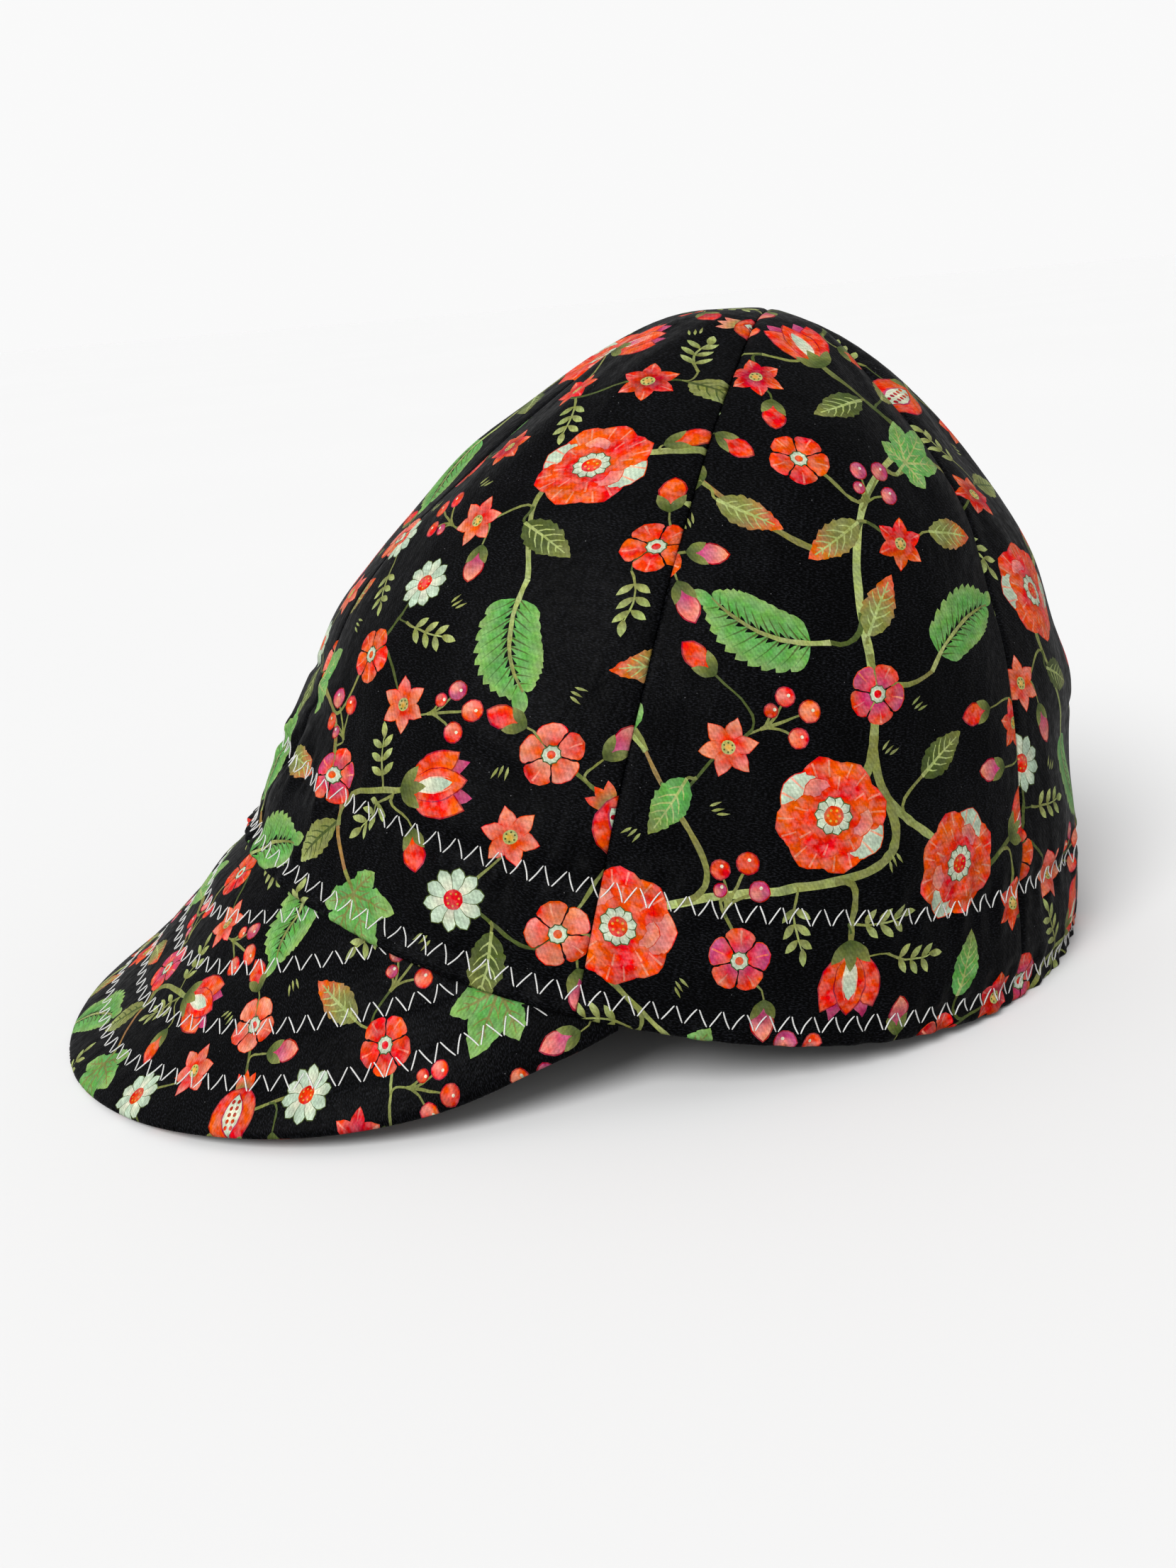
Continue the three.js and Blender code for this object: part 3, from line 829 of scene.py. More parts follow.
@dataclass
class SoftCloth:
    """What the cloth does over the cap's form: creases at seams, dips at stitches, wrinkles and ripples."""

    form: CapForm
    rows: Pair = (25.0, 4.4)
    row_dip: float = 0.66
    row_spread: float = 1.9
    crease_radius: float = 1.5
    wrinkles: int = 64
    wrinkle_width: Pair = (1.2, 2.6)
    wrinkle_rise: Pair = (6.0, 20.0)
    wrinkle_fall: float = 12.0
    wrinkle_lean: Pair = (-0.16, 0.16)
    wrinkle_depth: Pair = (0.40, 1.15)
    creases: int = 34
    crease_levels: tuple[float, float, float] = (-17.0, 4.0, 34.0)
    crease_half: Pair = (5.0, 15.0)
    crease_width: Pair = (1.1, 2.3)
    crease_slope: Pair = (-0.5, 0.5)
    crease_depth: Pair = (-1.15, 0.70)
    swells: int = 9
    swell_size: Pair = (16.0, 46.0)
    swell_share: float = 0.0050
    girth: float = 588.0
    pucker: float = 0.32
    pucker_turns: Pair = (97.0, 61.0)
    pucker_away: float = 3.2
    pucker_spread: float = 2.6
    seed: int = 5
    folds: Array = field(init=False, default=None)
    level_folds: Array = field(init=False, default=None)
    waves: Array = field(init=False, default=None)

    def __post_init__(self) -> None:
        """Picks where the upright wrinkles, the level creases and the soft swells lie."""
        pick = np.random.default_rng(self.seed)
        count = self.wrinkles
        ranges = ((0.0, 360.0), self.wrinkle_width, self.wrinkle_rise, self.wrinkle_lean, self.wrinkle_depth)
        self.folds = np.stack([pick.uniform(*span, count) for span in ranges], 1)
        self.folds[:, -1] *= np.sign(pick.uniform(-1.0, 1.0, count))
        count = self.creases
        ranges = (self.crease_half, self.crease_width, self.crease_slope, self.crease_depth)
        places = [pick.uniform(0.0, 360.0, count), self.rows[0] + pick.triangular(*self.crease_levels, count)]
        self.level_folds = np.stack(places + [pick.uniform(*span, count) for span in ranges], 1)
        size = pick.uniform(*self.swell_size, self.swells)
        way = pick.uniform(0.0, math.pi, self.swells)
        self.waves = np.stack([np.round(self.girth / size * np.cos(way)), np.sin(way) / size,
                               pick.uniform(0.0, 2.0 * math.pi, self.swells), size * self.swell_share], 1)

    def seam_gap(self, turn: Array, below: Array) -> Array:
        """Distance to the nearest seam, in millimetres."""
        place = np.mod(turn, 360.0)
        seams = np.array([panel.seams[0] for panel in Panel] + [360.0])
        away = np.abs(place[..., None] - seams).min(-1)
        base = self.form.dome(turn, below)
        setback = self.form.apex_setback * (1 - below ** 2)
        return np.radians(away) * np.hypot(base[..., 0], base[..., 1] - setback)

    def crown_out(self, turn: Array, below: Array) -> Array:
        """How far the crown's right face stands out from the form, but for the rounds of its edges."""
        height = self.form.height_at(below)
        arc = np.radians(turn)
        near_apex = smooth(below, 0.05, 0.35)
        out = np.zeros_like(height)
        for around, up, phase, depth in self.waves:
            out += depth * near_apex * np.sin(around * arc + 2.0 * math.pi * up * height + phase)
        for turn_at, width, rise, lean, depth in self.folds:
            over = height - self.rows[0]
            away = half_turn(turn - turn_at - lean * over)
            near = (np.abs(away) < 3.0 * width) & (over < rise) & (over > -self.wrinkle_fall)
            over, away = over[near], away[near]
            ends = swell(np.where(over > 0.0, over / rise, over / self.wrinkle_fall))
            out[near] += depth * bell(away / width) * ends
        for turn_at, level, half, width, slope, depth in self.level_folds:
            away = half_turn(turn - turn_at)
            near = (np.abs(away) < half) & (np.abs(height - level) < 3.0 * width + abs(slope) * half)
            away, over = away[near], height[near] - level - slope * away[near]
            out[near] += depth * swell(away / half) * bell(over / width)
        first, second = self.pucker_turns
        for row in self.rows:
            out -= self.row_dip * bell((height - row) / self.row_spread)
            ripple = np.sin(arc * first + row) + 0.8 * np.sin(arc * second + 2.0 * row)
            out += self.pucker * ripple * bell((np.abs(height - row) - self.pucker_away) / self.pucker_spread)
        return out

    def crown_faces(self, turn: Array, below: Array, edge: Array) -> tuple[Array, Array]:
        """Places on the right and wrong faces of the crown's cloth, some distance from its cut edge."""
        folded = self.form.cloth / 2.0 * rounding(edge, self.crease_radius)
        middle = self.form.crown(turn, below, self.crown_out(turn, below))
        facing = self.form.dome_normal(turn, below)
        return middle - facing * folded[..., None], middle - facing * (self.form.cloth - folded)[..., None]


@dataclass
class Cut:
    """A flat sheet cut into triangles, with the ink at each triangle's corners."""

    places: Array
    triangles: Array
    inks: Array

    def border(self) -> Array:
        """The places along the cut edge, in their order round it."""
        ends = np.concatenate([self.triangles[:, pair] for pair in ([0, 1], [1, 2], [2, 0])])
        low, high = ends.min(1), ends.max(1)
        _, first, counts = np.unique(low * len(self.places) + high, return_index=True, return_counts=True)
        after = dict(ends[first[counts == 1]].tolist())
        start = next(iter(after))
        loop = [start]
        while after[loop[-1]] != start:
            loop.append(after[loop[-1]])
        return np.array(loop)


def new_piece(name: str, places: Array, faces: list[list[int]]) -> bpy.types.Object:
    """A new object with a mesh of some places and faces."""
    mesh = bpy.data.meshes.new(name)
    mesh.from_pydata(places.tolist(), [], faces)
    piece = bpy.data.objects.new(name, mesh)
    bpy.context.collection.objects.link(piece)
    return piece


@dataclass
class FlatSheet:
    """A piece of cloth as it is cut: its flat outline, and the points that carry its form."""

    outline: Array
    pitch: float = 2.1
    insets: tuple[float, ...] = (0.10, 0.34, 0.75, 1.35, 2.2)
    extra: Optional[Array] = None

    def gap(self, points: Array) -> tuple[Array, Array]:
        """Distance of flat points from the outline, and the way inwards from the nearest part of it."""
        found = np.full(len(points), np.inf)
        inward = np.zeros((len(points), 2))
        for a, d in zip(self.outline, np.roll(self.outline, -1, axis=0) - self.outline):
            length = max(float(d @ d), 1e-12)
            away = points - a
            share = np.clip((away @ d) / length, 0.0, 1.0)
            away -= share[:, None] * d
            distance = np.sqrt(away[:, 0] ** 2 + away[:, 1] ** 2)
            near = distance < found
            found[near] = distance[near]
            inward[near] = np.array([-d[1], d[0]]) / math.sqrt(length)
        return found, inward

    def inside(self, points: Array) -> Array:
        """Which flat points lie inside the outline."""
        found = np.zeros(len(points), bool)
        for a, b in zip(self.outline, np.roll(self.outline, -1, axis=0)):
            crosses = (a[1] > points[:, 1]) != (b[1] > points[:, 1])
            rise = b[1] - a[1] if b[1] != a[1] else 1e-12
            found ^= crosses & (points[:, 0] < (b[0] - a[0]) * (points[:, 1] - a[1]) / rise + a[0])
        return found

    def guides(self) -> Array:
        """Points that carry the form: an even grid, and rows beside the edges that the folds bend."""
        low, high = self.outline.min(0), self.outline.max(0)
        rows = np.arange(low[1], high[1], self.pitch * math.sqrt(3.0) / 2.0)
        columns = np.arange(low[0], high[0], self.pitch)
        grid = np.array([(x + (i % 2) * self.pitch / 2.0, y) for i, y in enumerate(rows) for x in columns])
        if self.extra is not None:
            grid = np.concatenate([grid, self.extra])
        grid = grid[self.inside(grid)]
        sets = [grid[self.gap(grid)[0] > self.insets[-1] + 0.4 * self.pitch]]
        along = unit(np.roll(self.outline, -1, axis=0) - np.roll(self.outline, 1, axis=0))
        inward = np.stack([-along[:, 1], along[:, 0]], 1)
        for inset in self.insets:
            row = self.outline + inward * inset
            row = row[self.inside(row)]
            sets.append(row[self.gap(row)[0] > 0.9 * inset])
        return np.concatenate(sets)

    def cut(self, patches: list[Patch], outline: Array, guides: Array) -> Cut:
        """Cuts the sheet into triangles, each inked by the print's topmost shape there.

        Args:
            patches: The print's shapes, in the order in which they are printed.
            outline: The outline, which may have more points than the sheet's own.
            guides: Points inside that the triangles have as corners.

        Returns:
            The cut.
        """
        starts = np.cumsum([len(outline)] + [len(patch.outline) for patch in patches])
        points = np.concatenate([outline] + [patch.outline for patch in patches] + [guides])
        within = self.inside(points)
        loops, kept = [list(range(len(outline)))], []
        for patch, start in zip(patches, starts):
            x, y = patch.outline[:, 0], patch.outline[:, 1]
            if within[start:start + len(x)].any():
                turn = (x * np.roll(y, -1) - y * np.roll(x, -1)).sum()
                loop = list(range(start, start + len(x)))
                loops.append(loop if turn > 0.0 else loop[::-1])
                kept.append(patch)
        made = delaunay_2d_cdt([Vector(point) for point in points.tolist()], [], loops, 1, 1e-4, True)
        held = [(face, max(origin)) for face, origin in zip(made[2], made[5]) if 0 in origin]
        used, triangles = np.unique(np.array([face for face, _ in held]), return_inverse=True)
        triangles = triangles.reshape(-1, 3)
        places = np.array([tuple(made[0][i]) for i in used])
        tops = np.array([top for _, top in held])
        inks = np.zeros((len(tops), 3, 4))
        inks[..., :3] = Tone.GROUND.linear
        order = np.argsort(tops, kind="stable")
        for group in np.split(order, np.flatnonzero(np.diff(tops[order])) + 1):
            top = tops[group[0]]
            if top:
                inks[group, :, :3] = kept[top - 1].ink(places[triangles[group]])
                inks[group, :, 3] = 1.0
        return Cut(places, triangles, inks)


@dataclass
class ClothPiece:
    """A sewn piece with two faces that meet along its edge, laid on the cap from a flat sheet.

    The way it lies takes flat places and their distances from the edge, and gives places on the right
    and on the wrong face.
    """

    name: str
    sheet: FlatSheet
    lie: Lie
    form: CapForm
    right_print: list[Patch]
    wrong_print: list[Patch]
    coarse: float = 3.0
    wrong_gain: float = 0.12
    wrong_ground: float = 0.004
    slope_step: float = 0.06
    same_place: float = 1e-3

    def faces(self, cut: Cut) -> tuple[Array, Array, Array, Array]:
        """Lays a cut on the cap.

        Args:
            cut: The cut sheet.

        Returns:
            Its places on the right and wrong faces, and the directions that these face.
        """
        gap, inward = self.sheet.gap(cut.places)
        gap[cut.border()] = 0.0
        right, wrong = self.lie(cut.places, gap)
        slopes = []
        for move in self.slope_step * np.eye(2):
            ahead = self.lie(cut.places + move, np.maximum(gap + inward @ move, 0.0))
            behind = self.lie(cut.places - move, np.maximum(gap - inward @ move, 0.0))
            slopes.append([a - b for a, b in zip(ahead, behind)])
        over, under = (unit(np.cross(*both)) for both in zip(*slopes))
        return right, wrong, over, -under

    def cuts(self) -> tuple[Cut, Cut]:
        """Cuts the right and the wrong face, so that both have the same places along their edge."""
        sheet = self.sheet
        guides = sheet.guides()
        plain = FlatSheet(sheet.outline, self.coarse, sheet.insets, sheet.extra).guides()
        right = sheet.cut(self.right_print, sheet.outline, guides)
        edge = right.places[right.border()]
        wrong = sheet.cut(self.wrong_print, edge, plain)
        rest = wrong.places[wrong.border()]
        if len(rest) != len(edge):
            right = sheet.cut(self.right_print, rest, guides)
            Report.info("%s: recut to %d edge points", self.name, len(rest))
        return right, wrong

    def make(self) -> bpy.types.Object:
        """Builds the piece as one closed mesh, with its print as colours and its flat size as a map.

        Returns:
            The new object, which carries no finish yet.
        """
        right, wrong = self.cuts()
        edge, rest = right.border(), wrong.border()
        away = np.linalg.norm(wrong.places[rest][:, None] - right.places[edge][None], axis=2)
        if len(edge) != len(rest) or away.min(1).max() > self.same_place:
            Report.warning("%s: its faces meet at %d and %d points", self.name, len(edge), len(rest))
        index = np.zeros(len(wrong.places), int)
        inner = np.ones(len(wrong.places), bool)
        inner[rest] = False
        index[rest] = edge[away.argmin(1)]
        index[inner] = len(right.places) + np.arange(inner.sum())
        outer_places, _, outer_normals, under_normals = self.faces(right)
        _, inner_places, _, inner_normals = self.faces(wrong)
        outer_normals[edge] = unit(outer_normals[edge] + under_normals[edge])
        places = self.form.settle(np.concatenate([outer_places, inner_places[inner]]))
        normals = self.form.tip(np.concatenate([outer_normals, inner_normals[inner]]))
        triangles = np.concatenate([right.triangles, index[wrong.triangles][:, ::-1]])
        ghost = wrong.inks.copy()
        ghost[..., :3] = ghost[..., :3] * self.wrong_gain + self.wrong_ground
        inks = np.concatenate([right.inks, ghost[:, ::-1]])
        flat = np.concatenate([right.places[right.triangles], wrong.places[wrong.triangles][:, ::-1]])
        piece = new_piece(self.name, places, triangles.tolist())
        mesh = piece.data
        mesh.color_attributes.new("print", "FLOAT_COLOR", "CORNER").data.foreach_set("color", inks.ravel())
        mesh.uv_layers.new(name="cloth").data.foreach_set("uv", flat.ravel())
        mesh.normals_split_custom_set_from_vertices(normals.tolist())
        return piece


@dataclass
class Gore:
    """A crown panel's flat cut: a petal with the rim as its base, and how it lies on the crown."""

    form: CapForm
    cloth: SoftCloth
    panel: Panel
    step: float = 1.5
    apex: float = 0.0015
    row_guides: tuple[float, ...] = (-2.7, -1.35, 0.0, 1.35, 2.7)
    guide_step: float = 1.3
    below: Array = field(init=False, default=None)
    rise: Array = field(init=False, default=None)
    half: Array = field(init=False, default=None)

    def __post_init__(self) -> None:
        """Measures the panel's length and its width at each height."""
        start, end = self.panel.seams
        self.below = np.linspace(1.0, self.apex, 260)
        middle = self.form.dome(np.full_like(self.below, (start + end) / 2.0), self.below)
        steps = np.linalg.norm(np.diff(middle, axis=0), axis=1)
        self.rise = np.concatenate([[0.0], np.cumsum(steps)])
        turns = np.linspace(start, end, 17)
        rows = self.form.dome(*np.meshgrid(turns, self.below))
        self.half = np.linalg.norm(np.diff(rows, axis=1), axis=2).sum(1) / 2.0

    def outline(self) -> Array:
        """The flat outline, anticlockwise from the rim's first corner."""
        width, top = float(self.half[0]), float(self.rise[-1])
        base = np.linspace(-width, width, max(4, round(2.0 * width / self.step)), endpoint=False)
        heights = np.linspace(0.0, top, round(top / self.step))
        sides = np.interp(heights, self.rise, self.half)
        return np.concatenate([np.stack([base, np.zeros_like(base)], 1), np.stack([sides, heights], 1),
                               np.stack([-sides, heights], 1)[::-1][:-1]])

    def rows(self) -> Array:
        """Extra places along the rows of stitches, where the cloth dips."""
        found = []
        for row in self.cloth.rows:
            level = float(np.interp(self.form.below_at(np.array(row)), self.below[::-1], self.rise[::-1]))
            x = np.arange(-self.half[0], self.half[0], self.guide_step)
            found += [np.stack([x, np.full_like(x, level + away)], 1) for away in self.row_guides]
        return np.concatenate(found)

    def lie(self, flat: Array, gap: Array) -> tuple[Array, Array]:
        """Where flat places come to lie on the upright cap, on either face."""
        start, end = self.panel.seams
        below = np.interp(flat[:, 1], self.rise, self.below)
        half = np.interp(flat[:, 1], self.rise, self.half)
        share = np.clip(flat[:, 0] / half, -1.0, 1.0)
        turn = (start + end) / 2.0 + share * (end - start) / 2.0
        return self.cloth.crown_faces(turn, below, gap)


@dataclass
class PeakCut:
    """The peak's flat cut: a crescent whose root is an arc, and how it lies under the rim."""

    form: CapForm
    half_width: float = 124.5
    root_radius: float = 108.0
    rows: tuple[float, ...] = (10.9, 22.7, 35.8, 47.6)
    row_dip: float = 0.62
    row_spread: float = 2.3
    puff: float = 0.35
    edge_radius: float = 1.9
    inland: float = 9.0
    step: float = 1.5
    rim: Array = field(init=False, default=None)

    def __post_init__(self) -> None:
        """Draws the edge on the plane of spans across and runs out."""
        across = np.linspace(-1.0, 1.0, 241)
        self.rim = np.stack([across * self.half_width, self.form.reach(across)], 1)

    def flat(self, span: Array, run: Array) -> Array:
        """Spans and runs as places on the flat cloth."""
        angle, radius = span / self.root_radius, self.root_radius + run
        return np.stack([radius * np.sin(angle), -radius * np.cos(angle)], -1)

    def outline(self) -> Array:
        """The flat outline, anticlockwise."""
        across = np.linspace(-1.0, 1.0, 2 * round(self.half_width * 1.25 / self.step))
        root = across[::-2]
        edge = self.flat(across * self.half_width, self.form.reach(across))
        depth = np.full_like(root, -self.form.root_height)
        side = np.linspace(0.0, 1.0, 7)[1:-1]
        end_run = float(self.form.reach(np.array(1.0)))
        right = self.flat(np.full_like(side, self.half_width), end_run + side * (depth[0] - end_run))
        left = self.flat(np.full_like(side, -self.half_width), depth[0] + side * (end_run - depth[0]))
        return np.concatenate([edge, right, self.flat(root * self.half_width, depth), left])

    def edge_gap(self, span: Array, run: Array) -> Array:
        """Distance from the peak's edge on the plane of spans and runs."""
        points = np.stack([span, run], 1)
        found = np.full(len(points), np.inf)
        for a, d in zip(self.rim[:-1], np.diff(self.rim, axis=0)):
            share = np.clip(((points - a) @ d) / (d @ d), 0.0, 1.0)
            found = np.minimum(found, np.linalg.norm(points - a - share[:, None] * d, axis=1))
        return found

    def quilting(self, span: Array, run: Array) -> Array:
        """How far the rows of stitches draw the cloth in, and the puffs between them stand out."""
        gap = self.edge_gap(span, run)
        shown = smooth(run, -1.0, 4.0)
        out = np.zeros_like(gap)
        for row in self.rows:
            out -= self.row_dip * bell((gap - row) / self.row_spread)
        ripple = 0.5 * np.sin(span / 5.3 + 0.21 * run) + 0.5 * np.sin(span / 8.9 - 0.33 * run + 1.7)
        return shown * (out + self.puff * smooth(gap, 0.0, 4.0) * (0.7 + 0.3 * ripple))

    def face_at(self, span: Array, run: Array, face: Face, gap: Array, out: Array | float = 0.0) -> Array:
        """A place on one of the peak's faces, or some way outside it."""
        wall = self.form.peak_wall(np.maximum(run, 0.0))
        folded = wall / 2.0 * rounding(gap, self.edge_radius)
        drawn = self.quilting(span, run)
        depth = folded - drawn - out if face is Face.RIGHT else wall - folded + drawn + out
        return self.form.peak(span / self.half_width, run, depth)

    def lie(self, flat: Array, gap: Array) -> tuple[Array, Array]:
        """Where flat places come to lie on the upright cap, on either face."""
        run = np.hypot(flat[:, 0], flat[:, 1]) - self.root_radius
        span = self.root_radius * np.arctan2(flat[:, 0], -flat[:, 1])
        span = np.clip(span, -self.half_width, self.half_width)
        run = np.maximum(run, -self.form.root_height)
        return self.face_at(span, run, Face.RIGHT, gap), self.face_at(span, run, Face.WRONG, gap)

    def surface(self, face: Face) -> Surface:
        """One of the peak's faces, away from its edge, for spans and runs and a height over it."""
        return lambda places, out: self.face_at(*places.T, face, np.full(len(places), self.inland), out)

    def row_line(self, row: float) -> Array:
        """The line of a row of stitches, as spans and runs, up to where it goes under the rim."""
        along = unit(np.gradient(self.rim, axis=0))
        line = self.rim + np.stack([along[:, 1], -along[:, 0]], 1) * row
        line = line[self.edge_gap(line[:, 0], line[:, 1]) > row - 0.05]
        return line[line[:, 1] > -0.8]


@dataclass
class BandCut:
    """The inner band's flat cut: a strip round the rim, joined at the back."""

    form: CapForm
    lift: float = 0.5
    radius: float = 93.0
    edge_radius: float = 0.7
    step: float = 2.2
    draws: tuple[tuple[float, float, float], ...] = ((4.4, 0.35, 1.8), (22.5, 0.25, 2.0))
    ripple_turns: Pair = (41.0, 67.0)

    def outline(self) -> Array:
        """The flat outline, anticlockwise from its lower corner at the back."""
        width, top = math.pi * self.radius, self.form.band_height
        base = np.linspace(-width, width, round(2.0 * width / self.step))
        side = np.linspace(self.lift, top, 12)[1:-1]
        edges = ((base, self.lift), (width, side), (base[::-1], top), (-width, side[::-1]))
        return np.concatenate([np.stack(np.broadcast_arrays(*edge), 1) for edge in edges])

    def face_at(self, turn: Array, height: Array, face: Face, gap: Array, out: Array | float = 0.0) -> Array:
        """A place on one of the band's faces, or some way outside it."""
        form = self.form
        room = (form.root_cloth + form.clearance) * form.root_share(turn, height)
        folded = form.band_cloth / 2.0 * rounding(gap, self.edge_radius)
        within = form.band_cloth - folded + out if face is Face.WRONG else folded - out
        drawn = sum(depth * bell((height - row) / spread) for row, depth, spread in self.draws)
        first, second = (np.radians(turn) * turns for turns in self.ripple_turns)
        ripple = 0.16 * np.sin(first + height / 5.0) + 0.12 * np.sin(second)
        soft = (ripple - drawn) * smooth(gap, 0.0, 3.0) if face is Face.WRONG else 0.0
        return form.crown(turn, form.below_at(height), -(form.cloth + form.clearance + room + within + soft))

    def lie(self, flat: Array, gap: Array) -> tuple[Array, Array]:
        """Where flat places come to lie on the upright cap, on either face."""
        turn = np.clip(np.degrees(flat[:, 0] / self.radius), -180.0, 180.0)
        height = np.clip(flat[:, 1], self.lift, self.form.band_height)
        return self.face_at(turn, height, Face.RIGHT, gap), self.face_at(turn, height, Face.WRONG, gap)


@dataclass
class ZigzagRow:
    """A row of zigzag stitches: separate threads that lie on the cloth and go down into it at each hole.

    The surface takes places with two coordinates and a height over the cloth, and gives places on the
    upright cap. The line runs through the row's middle.
    """

    name: str
    surface: Surface
    line: Array
    form: CapForm
    closed: bool = False
    width: float = 4.5
    pitch: float = 2.45
    uneven: float = 0.10
    thread: float = 0.165
    bow: float = 0.035
    lie_high: float = 0.72
    sink: float = 0.62
    sink_sharpness: float = 0.42
    taper: float = 0.35
    leg_share: float = 2.2
    sides: int = 6
    stations: int = 9
    probe: float = 0.02
    seed: int = 3

    def make(self) -> bpy.types.Object:
        """Builds the row as one mesh of closed threads.

        Returns:
            The new object, which carries no finish yet.
        """
        pick = np.random.default_rng(self.seed)
        holes = self.holes(pick)
        run = np.diff(holes, axis=0)[:, None]
        legs, count, sides = len(run), self.stations, self.sides
        share = np.linspace(0.0, 1.0, count)
        arch = np.sin(math.pi * share)
        bow = pick.uniform(-self.bow, self.bow, legs)[:, None, None] * arch[:, None]
        aside = np.stack([-run[..., 1], run[..., 0]], -1)
        flat = (holes[:-1, None] + run * share[:, None] + aside * bow).reshape(-1, 2)
        lift = self.thread * self.lie_high - self.sink * (1.0 - arch ** self.sink_sharpness)
        spine = self.surface(flat, np.tile(lift, legs)).reshape(legs, count, 3)
        normal = unit(np.cross(*self.slopes(flat))).reshape(legs, count, 3)
        along = unit(np.gradient(spine, axis=1))
        side = unit(np.cross(normal, along))
        normal = np.cross(along, side)
        angle = np.linspace(0.0, 2.0 * math.pi, sides, endpoint=False)[:, None]
        radius = self.thread * (1.0 - self.taper * np.abs(2.0 * share - 1.0) ** 6)
        ring = side[:, :, None] * np.cos(angle) + normal[:, :, None] * np.sin(angle)
        places = self.form.settle((spine[:, :, None] + ring * radius[:, None, None]).reshape(-1, 3))
        grid = np.arange(len(places)).reshape(legs, count, sides)
        ahead = np.roll(grid, -1, axis=2)
        quads = np.stack([grid[:, :-1], ahead[:, :-1], ahead[:, 1:], grid[:, 1:]], -1).reshape(-1, 4)
        ends = grid[:, 0, ::-1].tolist() + grid[:, -1].tolist()
        piece = new_piece(self.name, places, quads.tolist() + ends)
        mesh = piece.data
        turn = np.tile(np.arange(sides) / sides, legs * count)
        length = np.repeat(np.arange(legs * count) * self.pitch * self.leg_share / count, sides)
        corner = np.zeros(len(mesh.loops), int)
        mesh.loops.foreach_get("vertex_index", corner)
        mesh.uv_layers.new(name="thread").data.foreach_set("uv", np.stack([length, turn], 1)[corner].ravel())
        mesh.polygons.foreach_set("use_smooth", np.ones(len(mesh.polygons), bool))
        mesh.update()
        return piece

    def slopes(self, flat: Array) -> list[Array]:
        """How a place on the cloth moves for each of its two coordinates."""
        level = np.zeros(len(flat))
        return [(self.surface(flat + move, level) - self.surface(flat - move, level)) / (2.0 * self.probe)
                for move in self.probe * np.eye(2)]

    def holes(self, pick: np.random.Generator) -> Array:
        """The needle's holes in turn, left and right of the line."""
        spine = self.surface(self.line, np.zeros(len(self.line)))
        length = np.concatenate([[0.0], np.cumsum(np.linalg.norm(np.diff(spine, axis=0), axis=1))])
        count = round(length[-1] / self.pitch)
        if self.closed:
            count += count % 2
        at = np.linspace(0.0, length[-1], count + 1)
        at[1:-1] += pick.normal(0.0, self.uneven, count - 1)
        middle = np.stack([np.interp(at, length, self.line[:, axis]) for axis in range(2)], 1)
        along = np.gradient(middle, axis=0)
        a, b = self.slopes(middle)
        tangent = unit(a * along[:, :1] + b * along[:, 1:])
        across = np.cross(unit(np.cross(a, b)), tangent)
        aa, ab, bb = (a * a).sum(1), (a * b).sum(1), (b * b).sum(1)
        pa, pb = (a * across).sum(1), (b * across).sum(1)
        move = np.stack([pa * bb - pb * ab, pb * aa - pa * ab], 1) / (aa * bb - ab * ab)[:, None]
        reach = self.width + pick.normal(0.0, self.uneven, count + 1)
        side = np.where(np.arange(count + 1) % 2 == 0, 0.5, -0.5) * reach
        found = middle + move * side[:, None]
        if self.closed:
            found[-1] = found[0] + (self.line[-1] - self.line[0])
        return found


Socket = bpy.types.NodeSocket
Triple = tuple[float, float, float]


@dataclass(frozen=True)
class Mottle:
    """Soft noise: how fine and detailed it is, what it gives, how much of it counts, and how it lies."""

    fineness: float
    detail: float
    gives: Pair = (0.0, 1.0)
    counts: Pair = (0.3, 0.7)
    stretch: Triple = (1.0, 1.0, 1.0)
    turn: float = 0.0


